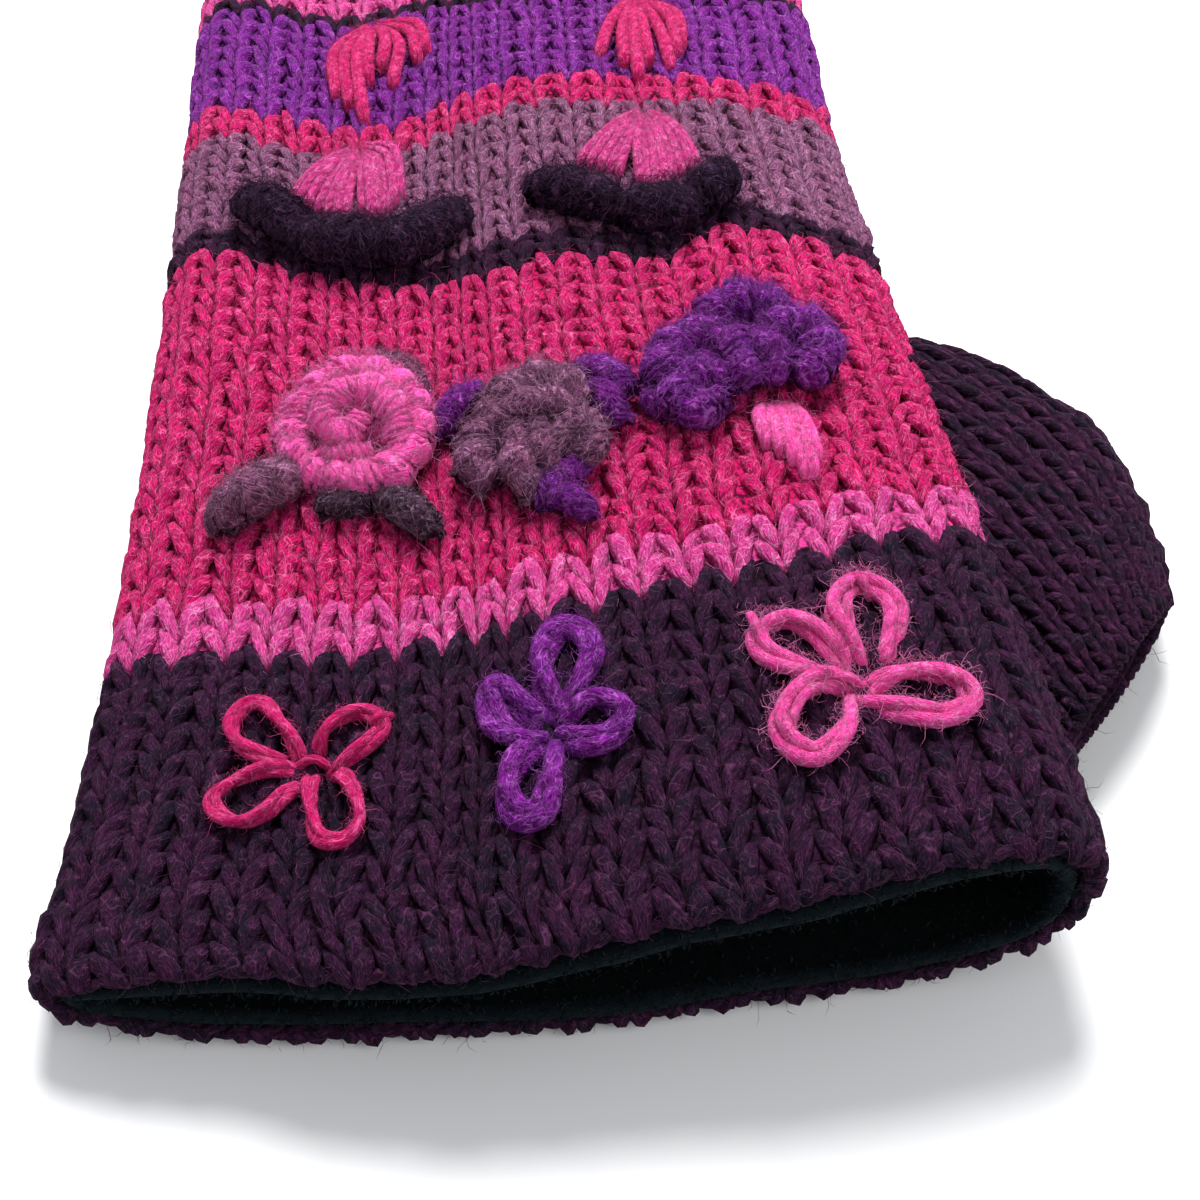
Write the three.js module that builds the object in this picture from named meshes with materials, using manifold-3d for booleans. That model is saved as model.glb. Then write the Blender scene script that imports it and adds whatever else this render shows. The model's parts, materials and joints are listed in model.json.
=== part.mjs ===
// A right-hand wrist warmer: a tube of thick hand-knitted wool with a short
// thumb sleeve at its side, a fleece lining, and wool flowers, leaves and fans
// worked on the back of the hand. It lies flat, palm side down, as it would on
// a table, with the finger opening at -Y, the cuff at +Y and the thumb at +X.
import * as THREE from "three";
import { mergeVertices } from "three/addons/utils/BufferGeometryUtils.js";
import Module from "manifold-3d";

const wasm = await Module();
wasm.setup();

// Driving sizes, in millimetres, stitches or rows. Places on the fabric are in
// stitches round the tube, from the left fold over the back of the hand to the
// right fold, and in rows from the finger opening.
const STITCH = 4.8;
const ROW = 3.45;
const STITCHES_ROUND = 46;
const ROWS = 60;
const KNIT_WALL = 3;
const FLEECE_WALL = 1.5;
const GAP = 0.3; // air left between neighbouring pieces
const FLEECE_SET_BACK = 0.4; // rows by which the fleece ends inside each edge
const PAST_EDGE = 2; // rows by which a cutting form runs past the tube's edge
const BURIED = 1; // depth a coiled motif is drawn into the knit before it is trimmed
const PAD_SEAT = 0.5; // height of a stitched pad's underside above the knit

// The flattened tube's cross-section is a rounded oblong with a flat strip
// underneath where it rests. One row for each section, along the tube:
// middle: x of the middle line; top: height of the upper side at the middle;
// tilt: how much higher the right side is than the left; dip: how far the
// middle sags between the sides; lift: how far the right fold is raised by the
// root of the thumb.
const ROUNDNESS = 2.6;
const FLAT_STRIP = 0.8;
const SECTIONS = [
  { row: 0, middle: -1.0, halfWidth: 52.2, top: 18.4, tilt: 14.0, dip: 0.9, lift: 0.5 },
  { row: 4, middle: -0.8, halfWidth: 52.2, top: 18.6, tilt: 14.0, dip: 0.6, lift: 1.2 },
  { row: 12, middle: 0.0, halfWidth: 51.4, top: 18.9, tilt: 13.0, dip: 0.3, lift: 2.0 },
  { row: 20, middle: 0.2, halfWidth: 50.9, top: 19.6, tilt: 10.0, dip: 0.0, lift: 1.8 },
  { row: 30, middle: 0.2, halfWidth: 50.7, top: 20.2, tilt: 5.5, dip: 0.0, lift: 0.4 },
  { row: 40, middle: 0.2, halfWidth: 50.8, top: 20.8, tilt: 2.0, dip: 0.0, lift: 0.0 },
  { row: 50, middle: 0.6, halfWidth: 51.3, top: 21.0, tilt: -1.0, dip: 0.0, lift: 0.0 },
  { row: 60, middle: 0.8, halfWidth: 51.4, top: 20.6, tilt: -2.0, dip: 0.2, lift: 0.0 },
];

// The thumb sleeve, from its root inside the tube to its mouth. One row for
// each upright cross-section: its centre, with y from the finger opening, half
// its width and height, and the direction of its width in degrees from +X.
const THUMB_WALL = 2.8;
const THUMB_ROUNDNESS = 2.3;
const THUMB_SECTIONS = [
  { x: 35.0, y: 84.5, z: 13.2, halfWidth: 16.0, halfHeight: 6.6, turn: 35 },
  { x: 46.5, y: 74.0, z: 10.7, halfWidth: 20.0, halfHeight: 7.2, turn: 35 },
  { x: 55.5, y: 60.5, z: 8.0, halfWidth: 20.5, halfHeight: 6.9, turn: 36 },
  { x: 60.5, y: 47.0, z: 6.4, halfWidth: 17.5, halfHeight: 6.3, turn: 40 },
  { x: 63.0, y: 34.0, z: 5.9, halfWidth: 14.5, halfHeight: 5.9, turn: 45 },
];

// Mesh fineness
const TUBE_AROUND = 46;
const TUBE_ALONG = 14;
const THUMB_AROUND = 20;
const THUMB_ALONG = 7;
const FLOWER_AROUND = 14;
const YARN_SIDES = 6;

// Looks a table up at a place, with a smooth curve through its rows.
function smoothRow(table, key, place) {
  const last = table.length - 1;
  const clamped = Math.min(Math.max(place, table[0][key]), table[last][key]);
  let i = 0;
  while (i < last - 1 && clamped > table[i + 1][key]) i += 1;
  const [a, b] = [table[i], table[i + 1]];
  const [before, after] = [table[Math.max(i - 1, 0)], table[Math.min(i + 2, last)]];
  const span = b[key] - a[key];
  const t = (clamped - a[key]) / span;
  const result = {};
  for (const name of Object.keys(a)) {
    const slopeA = ((b[name] - before[name]) / (b[key] - before[key])) * span;
    const slopeB = ((after[name] - a[name]) / (after[key] - a[key])) * span;
    result[name] =
      a[name] * (2 * t ** 3 - 3 * t ** 2 + 1) +
      b[name] * (3 * t ** 2 - 2 * t ** 3) +
      slopeA * (t ** 3 - 2 * t ** 2 + t) +
      slopeB * (t ** 3 - t ** 2);
  }
  return result;
}

// A point of the tube's cross-section. The angle runs from the left fold, over
// the upper side and back underneath; inset is the depth below the outer face.
function sectionPoint(section, angle, inset) {
  const turn = Math.cos(angle);
  const across = -Math.sign(turn) * Math.abs(turn) ** (2 / ROUNDNESS);
  const swell = Math.abs(Math.sin(angle)) ** (2 / ROUNDNESS);
  const top = section.top + (section.tilt / 2) * across - section.dip * (1 - 2 * across ** 2);
  const fold = top / 2 + section.lift * Math.max(0, across) ** 2;
  const upper = fold + (top - inset - fold) * swell;
  const lower = Math.max(inset, fold - (fold - inset + FLAT_STRIP) * swell);
  return {
    x: section.middle + across * (section.halfWidth - inset),
    z: Math.sin(angle) >= 0 ? upper : lower,
  };
}

// Angles of evenly spaced stitches round one row, worked out along its length.
const ARC_STEPS = 360;
const arcTables = new Map();
function arcTable(row) {
  const key = row.toFixed(3);
  if (!arcTables.has(key)) {
    const section = smoothRow(SECTIONS, "row", row);
    const lengths = [0];
    let from = sectionPoint(section, 0, 0);
    for (let k = 1; k <= ARC_STEPS; k += 1) {
      const to = sectionPoint(section, (2 * Math.PI * k) / ARC_STEPS, 0);
      lengths.push(lengths[k - 1] + Math.hypot(to.x - from.x, to.z - from.z));
      from = to;
    }
    arcTables.set(key, { section, lengths });
  }
  return arcTables.get(key);
}

function stitchAngle(lengths, stitch) {
  const turn = ((stitch / STITCHES_ROUND) % 1 + 1) % 1;
  const wanted = turn * lengths[ARC_STEPS];
  let k = 1;
  while (k < ARC_STEPS && lengths[k] < wanted) k += 1;
  const part = (wanted - lengths[k - 1]) / (lengths[k] - lengths[k - 1]);
  return (2 * Math.PI * (k - 1 + part)) / ARC_STEPS;
}

// A point of the tube at a stitch and a row, below the outer face by inset.
function onTube(stitch, row, inset = 0) {
  const { section, lengths } = arcTable(row);
  const point = sectionPoint(section, stitchAngle(lengths, stitch), inset);
  return new THREE.Vector3(point.x, (row - ROWS / 2) * ROW, point.z);
}

// A point above the outer face, by height along the fabric's own normal.
function aboveTube(stitch, row, height) {
  const step = 0.25;
  const round = onTube(stitch + step, row).sub(onTube(stitch - step, row));
  const along = onTube(stitch, row + step).sub(onTube(stitch, row - step));
  const normal = round.cross(along).normalize();
  return onTube(stitch, row).addScaledVector(normal, height);
}

// A closed geometry moved vertex by vertex, as a solid with its faces outward.
function solidFrom(geometry, move) {
  const bare = geometry.clone();
  bare.deleteAttribute("normal");
  bare.deleteAttribute("uv");
  const merged = mergeVertices(bare, 1e-4);
  const place = merged.getAttribute("position");
  const vertProperties = new Float32Array(place.count * 3);
  for (let i = 0; i < place.count; i += 1) {
    move(new THREE.Vector3().fromBufferAttribute(place, i)).toArray(vertProperties, 3 * i);
  }
  const index = merged.getIndex().array;
  const triVerts = Uint32Array.from(index);
  if (signedVolume(vertProperties, triVerts) < 0) triVerts.reverse();
  return new wasm.Manifold(new wasm.Mesh({ numProp: 3, vertProperties, triVerts }));
}

function signedVolume(vertices, triangles) {
  const corner = (k) => new THREE.Vector3().fromArray(vertices, 3 * triangles[k]);
  let volume = 0;
  for (let k = 0; k < triangles.length; k += 3) {
    volume += corner(k).dot(corner(k + 1).cross(corner(k + 2))) / 6;
  }
  return volume;
}

// A drum whose wall follows move(turn, along) and whose ends are flat.
function drum(around, along, move) {
  const cylinder = new THREE.CylinderGeometry(1, 1, 1, around, along);
  return solidFrom(cylinder, (v) => {
    const part = v.y + 0.5;
    if (Math.hypot(v.x, v.z) > 0.5) {
      const turn = Math.round((Math.atan2(v.x, v.z) / (2 * Math.PI) + 1) * around) / around;
      return move(turn % 1, part);
    }
    const rim = [0, 0.25, 0.5, 0.75].map((turn) => move(turn, part));
    const middle = new THREE.Vector3();
    rim.forEach((point) => middle.addScaledVector(point, 1 / rim.length));
    return middle;
  });
}

// The space inside one face of the tube, closed by a flat wall at each end.
function tubeForm(inset, firstRow, lastRow) {
  return drum(TUBE_AROUND, TUBE_ALONG, (turn, part) => {
    const row = firstRow + part * (lastRow - firstRow);
    const inside = Math.min(Math.max(row, 0), ROWS);
    const point = onTube(turn * STITCHES_ROUND, inside, inset);
    point.y = (row - ROWS / 2) * ROW;
    return point;
  });
}

// The space inside one face of the thumb sleeve, past its mouth by beyond mm.
function thumbForm(inset, beyond) {
  const table = THUMB_SECTIONS.map((section, step) => ({ ...section, step }));
  const last = THUMB_SECTIONS.length - 1;
  return drum(THUMB_AROUND, THUMB_ALONG, (turn, part) => {
    const section = smoothRow(table, "step", part * last);
    const angle = 2 * Math.PI * turn;
    const power = 2 / THUMB_ROUNDNESS;
    const bend = (value) => Math.sign(value) * Math.abs(value) ** power;
    const width = (section.halfWidth - inset) * bend(Math.cos(angle));
    const height = (section.halfHeight - inset) * bend(Math.sin(angle));
    const direction = THREE.MathUtils.degToRad(section.turn);
    const past = part === 1 ? beyond : 0;
    return new THREE.Vector3(
      section.x + width * Math.cos(direction) + past * Math.sin(direction),
      section.y - (ROWS / 2) * ROW + width * Math.sin(direction) - past * Math.cos(direction),
      section.z + height,
    );
  });
}

// Motifs are drawn on the fabric laid out flat, x along the stitches and y
// along the rows in millimetres with z as height, and then laid on the tube.
const flat = (stitch, row, height = 0) => new THREE.Vector3(stitch * STITCH, row * ROW, height);

// One thick stitch or coil of yarn along a path, with a flat underside. The
// profile gives half its width at a part of its length.
function coil(path, segments, height, halfWidth) {
  const curve = new THREE.CatmullRomCurve3(path);
  return drum(YARN_SIDES, segments, (turn, part) => {
    const centre = curve.getPoint(part);
    const tangent = curve.getTangent(part);
    const side = new THREE.Vector3(-tangent.y, tangent.x, 0).normalize();
    const half = halfWidth(part);
    const angle = 2 * Math.PI * turn;
    const rise = Math.sin(angle) > 0.1 ? height * Math.sin(angle) * (half / halfWidth(0.5)) : -BURIED;
    centre.addScaledVector(side, half * Math.cos(angle));
    centre.z = rise;
    return centre;
  });
}

// A pad of an even height over an outline, with a hole where one is given.
function pad(outline, height, hole) {
  const shape = new THREE.Shape(outline.map(({ x, y }) => new THREE.Vector2(x, y)));
  if (hole) shape.holes.push(new THREE.Path(hole.map(({ x, y }) => new THREE.Vector2(x, y))));
  const slab = new THREE.ExtrudeGeometry(shape, { depth: height - PAD_SEAT, bevelEnabled: false });
  return solidFrom(slab, (v) => new THREE.Vector3(v.x, v.y, v.z + PAD_SEAT));
}

// A leaf-shaped coil: full in the middle and narrow at both ends.
const spindle = (half) => (part) => half * (0.35 + 0.65 * Math.sin(Math.PI * part));

// A round flower: a profile of radius and height turned about its centre, its
// rim drawn in between a number of lobes, all grown by a margin.
function roundFlower({ stitch, row, profile, lobes, lobeDepth, stretch, lean }, grown = 0) {
  const points = profile.map(([radius, height]) => {
    return new THREE.Vector2(radius === 0 ? 0 : radius + grown, height + grown);
  });
  const lathe = new THREE.LatheGeometry(points, FLOWER_AROUND);
  const centre = flat(stitch, row);
  const tilt = THREE.MathUtils.degToRad(lean);
  return solidFrom(lathe, (v) => {
    const swing = Math.atan2(v.z, v.x);
    const scale = 1 + lobeDepth * Math.cos(lobes * swing);
    const long = v.x * scale * stretch;
    const short = v.z * scale;
    return new THREE.Vector3(
      centre.x + long * Math.cos(tilt) - short * Math.sin(tilt),
      centre.y + long * Math.sin(tilt) + short * Math.cos(tilt),
      v.y,
    );
  });
}

const join = (solids) => solids.reduce((whole, solid) => whole.add(solid));

// The main forms
const outside = tubeForm(0, 0, ROWS);
const fleeceOuter = KNIT_WALL + GAP;
const inside = tubeForm(KNIT_WALL, -PAST_EDGE, ROWS + PAST_EDGE);
const thumbHollow = thumbForm(THUMB_WALL, 3);
const clearOfTube = tubeForm(-GAP, -PAST_EDGE, ROWS + PAST_EDGE);

function knitTube() {
  return outside.subtract(inside).subtract(thumbHollow);
}

function fleeceLining() {
  const skin = tubeForm(fleeceOuter, FLEECE_SET_BACK, ROWS - FLEECE_SET_BACK);
  const hollow = tubeForm(fleeceOuter + FLEECE_WALL, -PAST_EDGE, ROWS + PAST_EDGE);
  return skin.subtract(hollow).subtract(thumbHollow);
}

function thumbSleeve() {
  return thumbForm(0, 0).subtract(thumbHollow).subtract(clearOfTube);
}

// Lays a flat motif on the tube.
function laid(motif) {
  const { numProp, vertProperties, triVerts } = motif.getMesh();
  const places = new Float32Array((vertProperties.length / numProp) * 3);
  for (let i = 0; i < places.length / 3; i += 1) {
    const [x, y, z] = vertProperties.subarray(i * numProp, i * numProp + 3);
    aboveTube(x / STITCH, y / ROW, z).toArray(places, 3 * i);
  }
  return new wasm.Manifold(new wasm.Mesh({ numProp: 3, vertProperties: places, triVerts }));
}

// Lays a motif and trims it just clear of the knit and of its neighbours.
function seated(motif, neighbours = []) {
  return neighbours.reduce((solid, other) => solid.subtract(other), laid(motif).subtract(clearOfTube));
}

// Lazy-daisy flowers near the finger opening: four open loops of yarn each.
const DAISY_YARN = 2.6;
const DAISY_HEIGHT = 2.4;
const DAISY_LOOP = 4.2; // half the width of a loop
const LOOP_POINTS = 12;
const KNOT_RADIUS = 2.6;
const KNOT_SIDES = 8;
const DAISIES = [
  {
    name: "daisy_left",
    centre: [5.5, 6.9],
    tips: [[3.9, 9.6], [7.2, 8.0], [6.7, 3.6], [3.5, 5.9]],
    colour: 0xc72a66,
  },
  {
    name: "daisy_middle",
    centre: [10.8, 6.8],
    tips: [[11.3, 10.6], [9.6, 8.6], [10.3, 3.2], [12.5, 6.3]],
    colour: 0x77278f,
  },
  {
    name: "daisy_right",
    centre: [17.0, 7.2],
    tips: [[15.2, 9.4], [17.8, 10.4], [19.3, 5.7], [15.3, 4.3]],
    colour: 0xdb4591,
  },
];

// A teardrop outline from a flower's centre to a loop's tip, drawn in by a
// margin all round.
function teardrop(root, tip, halfWidth, margin) {
  const reach = tip.clone().sub(root);
  const length = reach.length();
  const along = reach.normalize();
  const side = new THREE.Vector3(-along.y, along.x, 0);
  return Array.from({ length: LOOP_POINTS }, (_, k) => {
    const angle = (2 * Math.PI * k) / LOOP_POINTS;
    const part = 0.5 - 0.5 * Math.cos(angle);
    const out = margin + (length - 2 * margin) * part;
    const wide = (margin - halfWidth) * Math.sin(angle) * Math.sqrt(part);
    return root.clone().addScaledVector(along, out).addScaledVector(side, wide);
  });
}

function daisy({ centre, tips }) {
  const root = flat(...centre);
  const loops = tips.map((place) => {
    const tip = flat(...place);
    const hole = teardrop(root, tip, DAISY_LOOP, DAISY_YARN);
    return pad(teardrop(root, tip, DAISY_LOOP, 0), DAISY_HEIGHT, hole);
  });
  const rim = Array.from({ length: KNOT_SIDES }, (_, k) => {
    const angle = (2 * Math.PI * k) / KNOT_SIDES;
    const out = new THREE.Vector3(Math.cos(angle), Math.sin(angle), 0);
    return root.clone().addScaledVector(out, KNOT_RADIUS);
  });
  return join([...loops, pad(rim, DAISY_HEIGHT)]);
}

// Knitted flowers on the middle band, with coiled leaves round them.
const FLOWERS = [
  {
    name: "flower_pink",
    stitch: 6.5,
    row: 20.3,
    profile: [[0, -BURIED], [9.2, -BURIED], [10, 1.5], [9.3, 4.8], [6.8, 7], [3.6, 6.3], [1.4, 4.2], [0, 4]],
    lobes: 3,
    lobeDepth: 0.03,
    stretch: 1.0,
    lean: 0,
    colour: 0xd84f92,
  },
  {
    name: "flower_mauve",
    stitch: 10.95,
    row: 19.0,
    profile: [[0, -BURIED], [8.0, -BURIED], [8.8, 1.5], [8.2, 5], [5.8, 7.2], [2.8, 7.6], [0, 6.8]],
    lobes: 3,
    lobeDepth: 0.05,
    stretch: 1.08,
    lean: 40,
    colour: 0x7b5a6e,
  },
  {
    name: "flower_purple",
    stitch: 16.5,
    row: 21.4,
    profile: [[0, -BURIED], [10.0, -BURIED], [11.2, 1.5], [10.2, 5], [7, 8], [3.5, 8], [0, 6.6]],
    lobes: 6,
    lobeDepth: 0.1,
    stretch: 1.18,
    lean: 35,
    colour: 0x6d2592,
  },
];

const LEAVES = [
  { name: "leaf_left", ends: [[2.7, 17.3], [5.2, 18.9]], half: 3.4, height: 4, colour: 0x4a2c3e },
  { name: "leaf_lower", ends: [[7.2, 17.4], [9.0, 14.6]], half: 3.4, height: 4, colour: 0x3f2336 },
  { name: "leaf_upper", ends: [[7.0, 24.6], [8.9, 22.8]], half: 2.2, height: 3, colour: 0x8a4a74 },
  { name: "leaf_between", ends: [[8.75, 19.4], [9.4, 23.4]], half: 2.6, height: 3.5, colour: 0x5f2486 },
  { name: "leaf_right", ends: [[12.6, 18.2], [13.7, 22.6]], half: 3.2, height: 3.5, colour: 0x5f2486 },
  { name: "leaf_below", ends: [[11.2, 15.6], [12.6, 14.2]], half: 3.0, height: 3, colour: 0x6d2a8e },
];

function leaf({ ends, half, height }) {
  const [from, to] = ends.map((end) => flat(...end));
  const middle = from.clone().lerp(to, 0.5);
  return coil([from, middle, to], 6, height, spindle(half));
}

// Dark coiled garlands that hang below two fans on the plum band.
const GARLANDS = [
  {
    name: "garland_left",
    colour: 0x24121f,
    path: [[3.1, 35.4], [4.4, 32.4], [6.3, 30.8], [8.2, 30.4], [9.6, 31.4]],
  },
  {
    name: "garland_right",
    colour: 0x24121f,
    path: [[12.1, 33.6], [13.2, 31.4], [14.8, 30.2], [16.4, 30.9], [17.7, 32.6]],
  },
];

const GARLAND_HALF = 4;
const GARLAND_HEIGHT = 4.5;

// A garland swells three times along its length.
function garland({ path }, grown = 0) {
  const swell = (part) => 0.72 + 0.28 * Math.abs(Math.sin(3 * Math.PI * part + 0.3));
  const half = (part) => GARLAND_HALF * swell(part) + grown;
  return coil(path.map((place) => flat(...place)), 12, GARLAND_HEIGHT + grown, half);
}

// Fans of long satin stitches from one point, given by the stitch and row of
// the point and of each stitch's far end.
const NOTCH = 0.16; // how far the edge between two stitches is drawn in
const FANS = [
  {
    name: "fan_left",
    from: [6.8, 37.6],
    ends: [[4.9, 35.2], [5.8, 34.2], [6.8, 33.8], [7.8, 33.8]],
    height: 2,
    colour: 0xe05a98,
  },
  {
    name: "fan_right",
    from: [15.5, 38.2],
    ends: [[13.4, 35.4], [14.4, 34.2], [15.5, 33.6], [16.8, 34.6]],
    height: 2,
    colour: 0xe05a98,
  },
  {
    name: "fan_top_left",
    from: [6.9, 47.6],
    ends: [[6.0, 44.2], [6.9, 41.2], [8.0, 42.2], [9.0, 45.0]],
    height: 1.6,
    colour: 0xd23a6b,
  },
  {
    name: "fan_top_right",
    from: [16.0, 49.0],
    ends: [[14.7, 45.2], [15.6, 42.6], [16.6, 42.6], [17.6, 46.0]],
    height: 1.6,
    colour: 0xd23a6b,
  },
  {
    name: "petal_pink",
    from: [17.2, 19.2],
    ends: [[16.5, 16.6], [17.0, 15.4], [17.6, 16.4]],
    height: 1.6,
    colour: 0xe05a98,
  },
];

function fan({ from, ends, height }) {
  const point = flat(...from);
  const outline = [point];
  ends.forEach((place, k) => {
    outline.push(flat(...place));
    if (k < ends.length - 1) {
      const notch = flat(...place).lerp(flat(...ends[k + 1]), 0.5).lerp(point, NOTCH);
      outline.push(notch);
    }
  });
  return pad(outline, height);
}

// Builds the named meshes, each with its own material.
function meshFrom(name, solid, colour, roughness = 0.95) {
  const { numProp, vertProperties, triVerts } = solid.getMesh();
  const positions = new Float32Array((vertProperties.length / numProp) * 3);
  for (let i = 0; i < positions.length / 3; i += 1) {
    positions.set(vertProperties.subarray(i * numProp, i * numProp + 3), 3 * i);
  }
  const geometry = new THREE.BufferGeometry();
  geometry.setAttribute("position", new THREE.BufferAttribute(positions, 3));
  geometry.setIndex(new THREE.BufferAttribute(Uint32Array.from(triVerts), 1));
  geometry.computeVertexNormals();
  const material = new THREE.MeshStandardMaterial({ color: colour, roughness, metalness: 0 });
  const mesh = new THREE.Mesh(geometry, material);
  mesh.name = name;
  return mesh;
}

const wristWarmer = new THREE.Group();
wristWarmer.add(meshFrom("knit_tube", knitTube(), 0x8e2450));
wristWarmer.add(meshFrom("fleece_lining", fleeceLining(), 0x0d2226, 1));
wristWarmer.add(meshFrom("thumb_sleeve", thumbSleeve(), 0x33202f));
const clearOfFlowers = FLOWERS.map((row) => laid(roundFlower(row, GAP)));
const clearOfGarlands = GARLANDS.map((row) => laid(garland(row, GAP)));
const addMotifs = (table, solid) => {
  table.forEach((row) => wristWarmer.add(meshFrom(row.name, solid(row), row.colour)));
};
addMotifs(DAISIES, (row) => seated(daisy(row)));
addMotifs(FLOWERS, (row) => seated(roundFlower(row)));
addMotifs(LEAVES, (row) => seated(leaf(row), clearOfFlowers));
addMotifs(GARLANDS, (row) => seated(garland(row)));
addMotifs(FANS, (row) => seated(fan(row), [...clearOfGarlands, ...clearOfFlowers]));

export default wristWarmer;
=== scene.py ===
# A right-hand wrist warmer: a tube of thick striped wool knitting with a thumb
# sleeve, a fleece lining, and wool flowers, leaves and fans worked on its back.
import json
import math
import bpy
import numpy as np
from mathutils import Matrix, Vector, noise

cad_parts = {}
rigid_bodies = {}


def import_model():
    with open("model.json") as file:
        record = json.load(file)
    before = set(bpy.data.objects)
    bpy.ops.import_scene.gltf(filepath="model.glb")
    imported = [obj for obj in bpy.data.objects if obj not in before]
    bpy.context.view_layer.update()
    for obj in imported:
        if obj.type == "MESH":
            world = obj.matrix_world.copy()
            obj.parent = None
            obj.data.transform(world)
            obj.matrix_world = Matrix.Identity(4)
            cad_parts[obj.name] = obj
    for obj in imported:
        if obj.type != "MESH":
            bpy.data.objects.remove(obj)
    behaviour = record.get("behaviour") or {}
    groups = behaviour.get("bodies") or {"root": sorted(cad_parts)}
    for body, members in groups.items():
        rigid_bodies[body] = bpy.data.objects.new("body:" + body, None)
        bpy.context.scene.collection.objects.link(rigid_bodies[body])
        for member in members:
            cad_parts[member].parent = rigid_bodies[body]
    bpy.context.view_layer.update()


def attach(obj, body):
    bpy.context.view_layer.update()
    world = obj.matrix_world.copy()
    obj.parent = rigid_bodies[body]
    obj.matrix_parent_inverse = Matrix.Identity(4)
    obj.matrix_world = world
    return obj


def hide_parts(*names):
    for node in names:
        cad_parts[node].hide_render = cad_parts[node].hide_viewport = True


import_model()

# The table and the light: a plain pale table top, a soft lamp high at the back,
# a weaker one at the front right, and a pale room round them.
MM = 0.001
TABLE_HALF = 1.5
TABLE_DROP = 0.3 * MM


def own(obj):
    bpy.context.scene.collection.objects.link(obj)
    return obj


def mesh_object(name, points, faces):
    mesh = bpy.data.meshes.new(name)
    mesh.from_pydata([tuple(p) for p in points], [], [tuple(f) for f in faces])
    mesh.update()
    return own(bpy.data.objects.new(name, mesh))


def shader(name, finish):
    """A new material and its surface, with the surface's sockets set."""
    material = bpy.data.materials.new(name)
    material.use_nodes = True
    surface = material.node_tree.nodes["Principled BSDF"]
    for socket, value in finish.items():
        surface.inputs[socket].default_value = value
    return material, surface


sides = (-TABLE_HALF, TABLE_HALF)
corners = [(sides[x], sides[y], -TABLE_DROP) for x, y in ((0, 0), (1, 0), (1, 1), (0, 1))]
table = mesh_object("table_top", corners, [(0, 1, 2, 3)])
table_paint, _ = shader("pale_table", {"Base Color": (0.86, 0.86, 0.87, 1), "Roughness": 0.6})
table.data.materials.append(table_paint)


def soft_lamp(name, place, size, power):
    """A round lamp that shines on the piece."""
    light = bpy.data.lights.new(name, "AREA")
    light.shape = "DISK"
    light.size = size
    light.energy = power
    lamp = own(bpy.data.objects.new(name, light))
    lamp.location = place
    lamp.rotation_euler = (-Vector(place)).to_track_quat("-Z", "Y").to_euler()


soft_lamp("lamp_back", (0.05, 0.50, 0.68), size=0.42, power=15.5)
soft_lamp("lamp_front_right", (0.6, -0.5, 0.6), size=0.6, power=3.2)
room = bpy.data.worlds.new("pale_room")
room.use_nodes = True
room.node_tree.nodes["Background"].inputs["Color"].default_value = (0.95, 0.97, 1.0, 1)
room.node_tree.nodes["Background"].inputs["Strength"].default_value = 0.5
bpy.context.scene.world = room
bpy.context.scene.view_settings.view_transform = "Standard"

# The camera looks down at the back of the hand from beyond the finger opening,
# close enough that the picture's upper edge crops the cuff.
CAMERA_PLACE = (-6.0 * MM, -177.5 * MM, 143.2 * MM)
CAMERA_HEADING = 5.3
CAMERA_PITCH = 47.4
CAMERA_ROLL = -0.2
LENS = 47.25
SENSOR = 36.0
lens = bpy.data.cameras.new("camera")
lens.lens = LENS
lens.sensor_width = SENSOR
lens.clip_start = 0.01
camera = own(bpy.data.objects.new("camera", lens))
turn = Matrix.Rotation(math.radians(-CAMERA_HEADING), 4, "Z")
tip = Matrix.Rotation(math.radians(90 - CAMERA_PITCH), 4, "X")
roll = Matrix.Rotation(math.radians(CAMERA_ROLL), 4, "Z")
camera.matrix_world = Matrix.Translation(CAMERA_PLACE) @ turn @ tip @ roll
bpy.context.scene.camera = camera

# The cloth's form. Every piece is placed on it by stitches round the tube, from
# the left fold over the back of the hand to the right fold, by rows from the
# finger opening, and by its height above the knit's outer face.
STITCH = 4.8
ROW = 3.45
STITCHES_ROUND = 46
ROWS = 60
ROUNDNESS = 2.6
FLAT_STRIP = 0.8
SECTIONS = (
    # row, middle, half width, top, tilt, dip, lift
    (0, -1.1, 50.4, 18.2, 14.0, 0.9, 0.5),
    (2, -2.1, 52.1, 18.3, 14.0, 0.7, 0.8),
    (4.5, -1.35, 51.75, 18.4, 13.8, 0.5, 1.3),
    (12, -0.95, 50.25, 18.7, 13.0, 0.3, 2.0),
    (20, -0.35, 49.75, 19.3, 10.0, 0.0, 1.8),
    (30, 0.0, 49.6, 19.9, 5.5, 0.0, 0.4),
    (40, 0.4, 49.9, 20.5, 2.0, 0.0, 0.0),
    (50, 1.6, 51.3, 20.8, -1.0, 0.0, 0.0),
    (60, 1.8, 51.6, 20.4, -2.0, 0.2, 0.0),
)
ARC_STEPS = 720
MARGIN_ROWS = 4
MARGIN_STITCHES = 2
GRID_ROW = 0.5
GRID_STITCH = 0.25


def evenly(first, last, step):
    """Numbers from the first to the last, a step apart."""
    return np.arange(first, last + step / 2, step)


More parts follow.
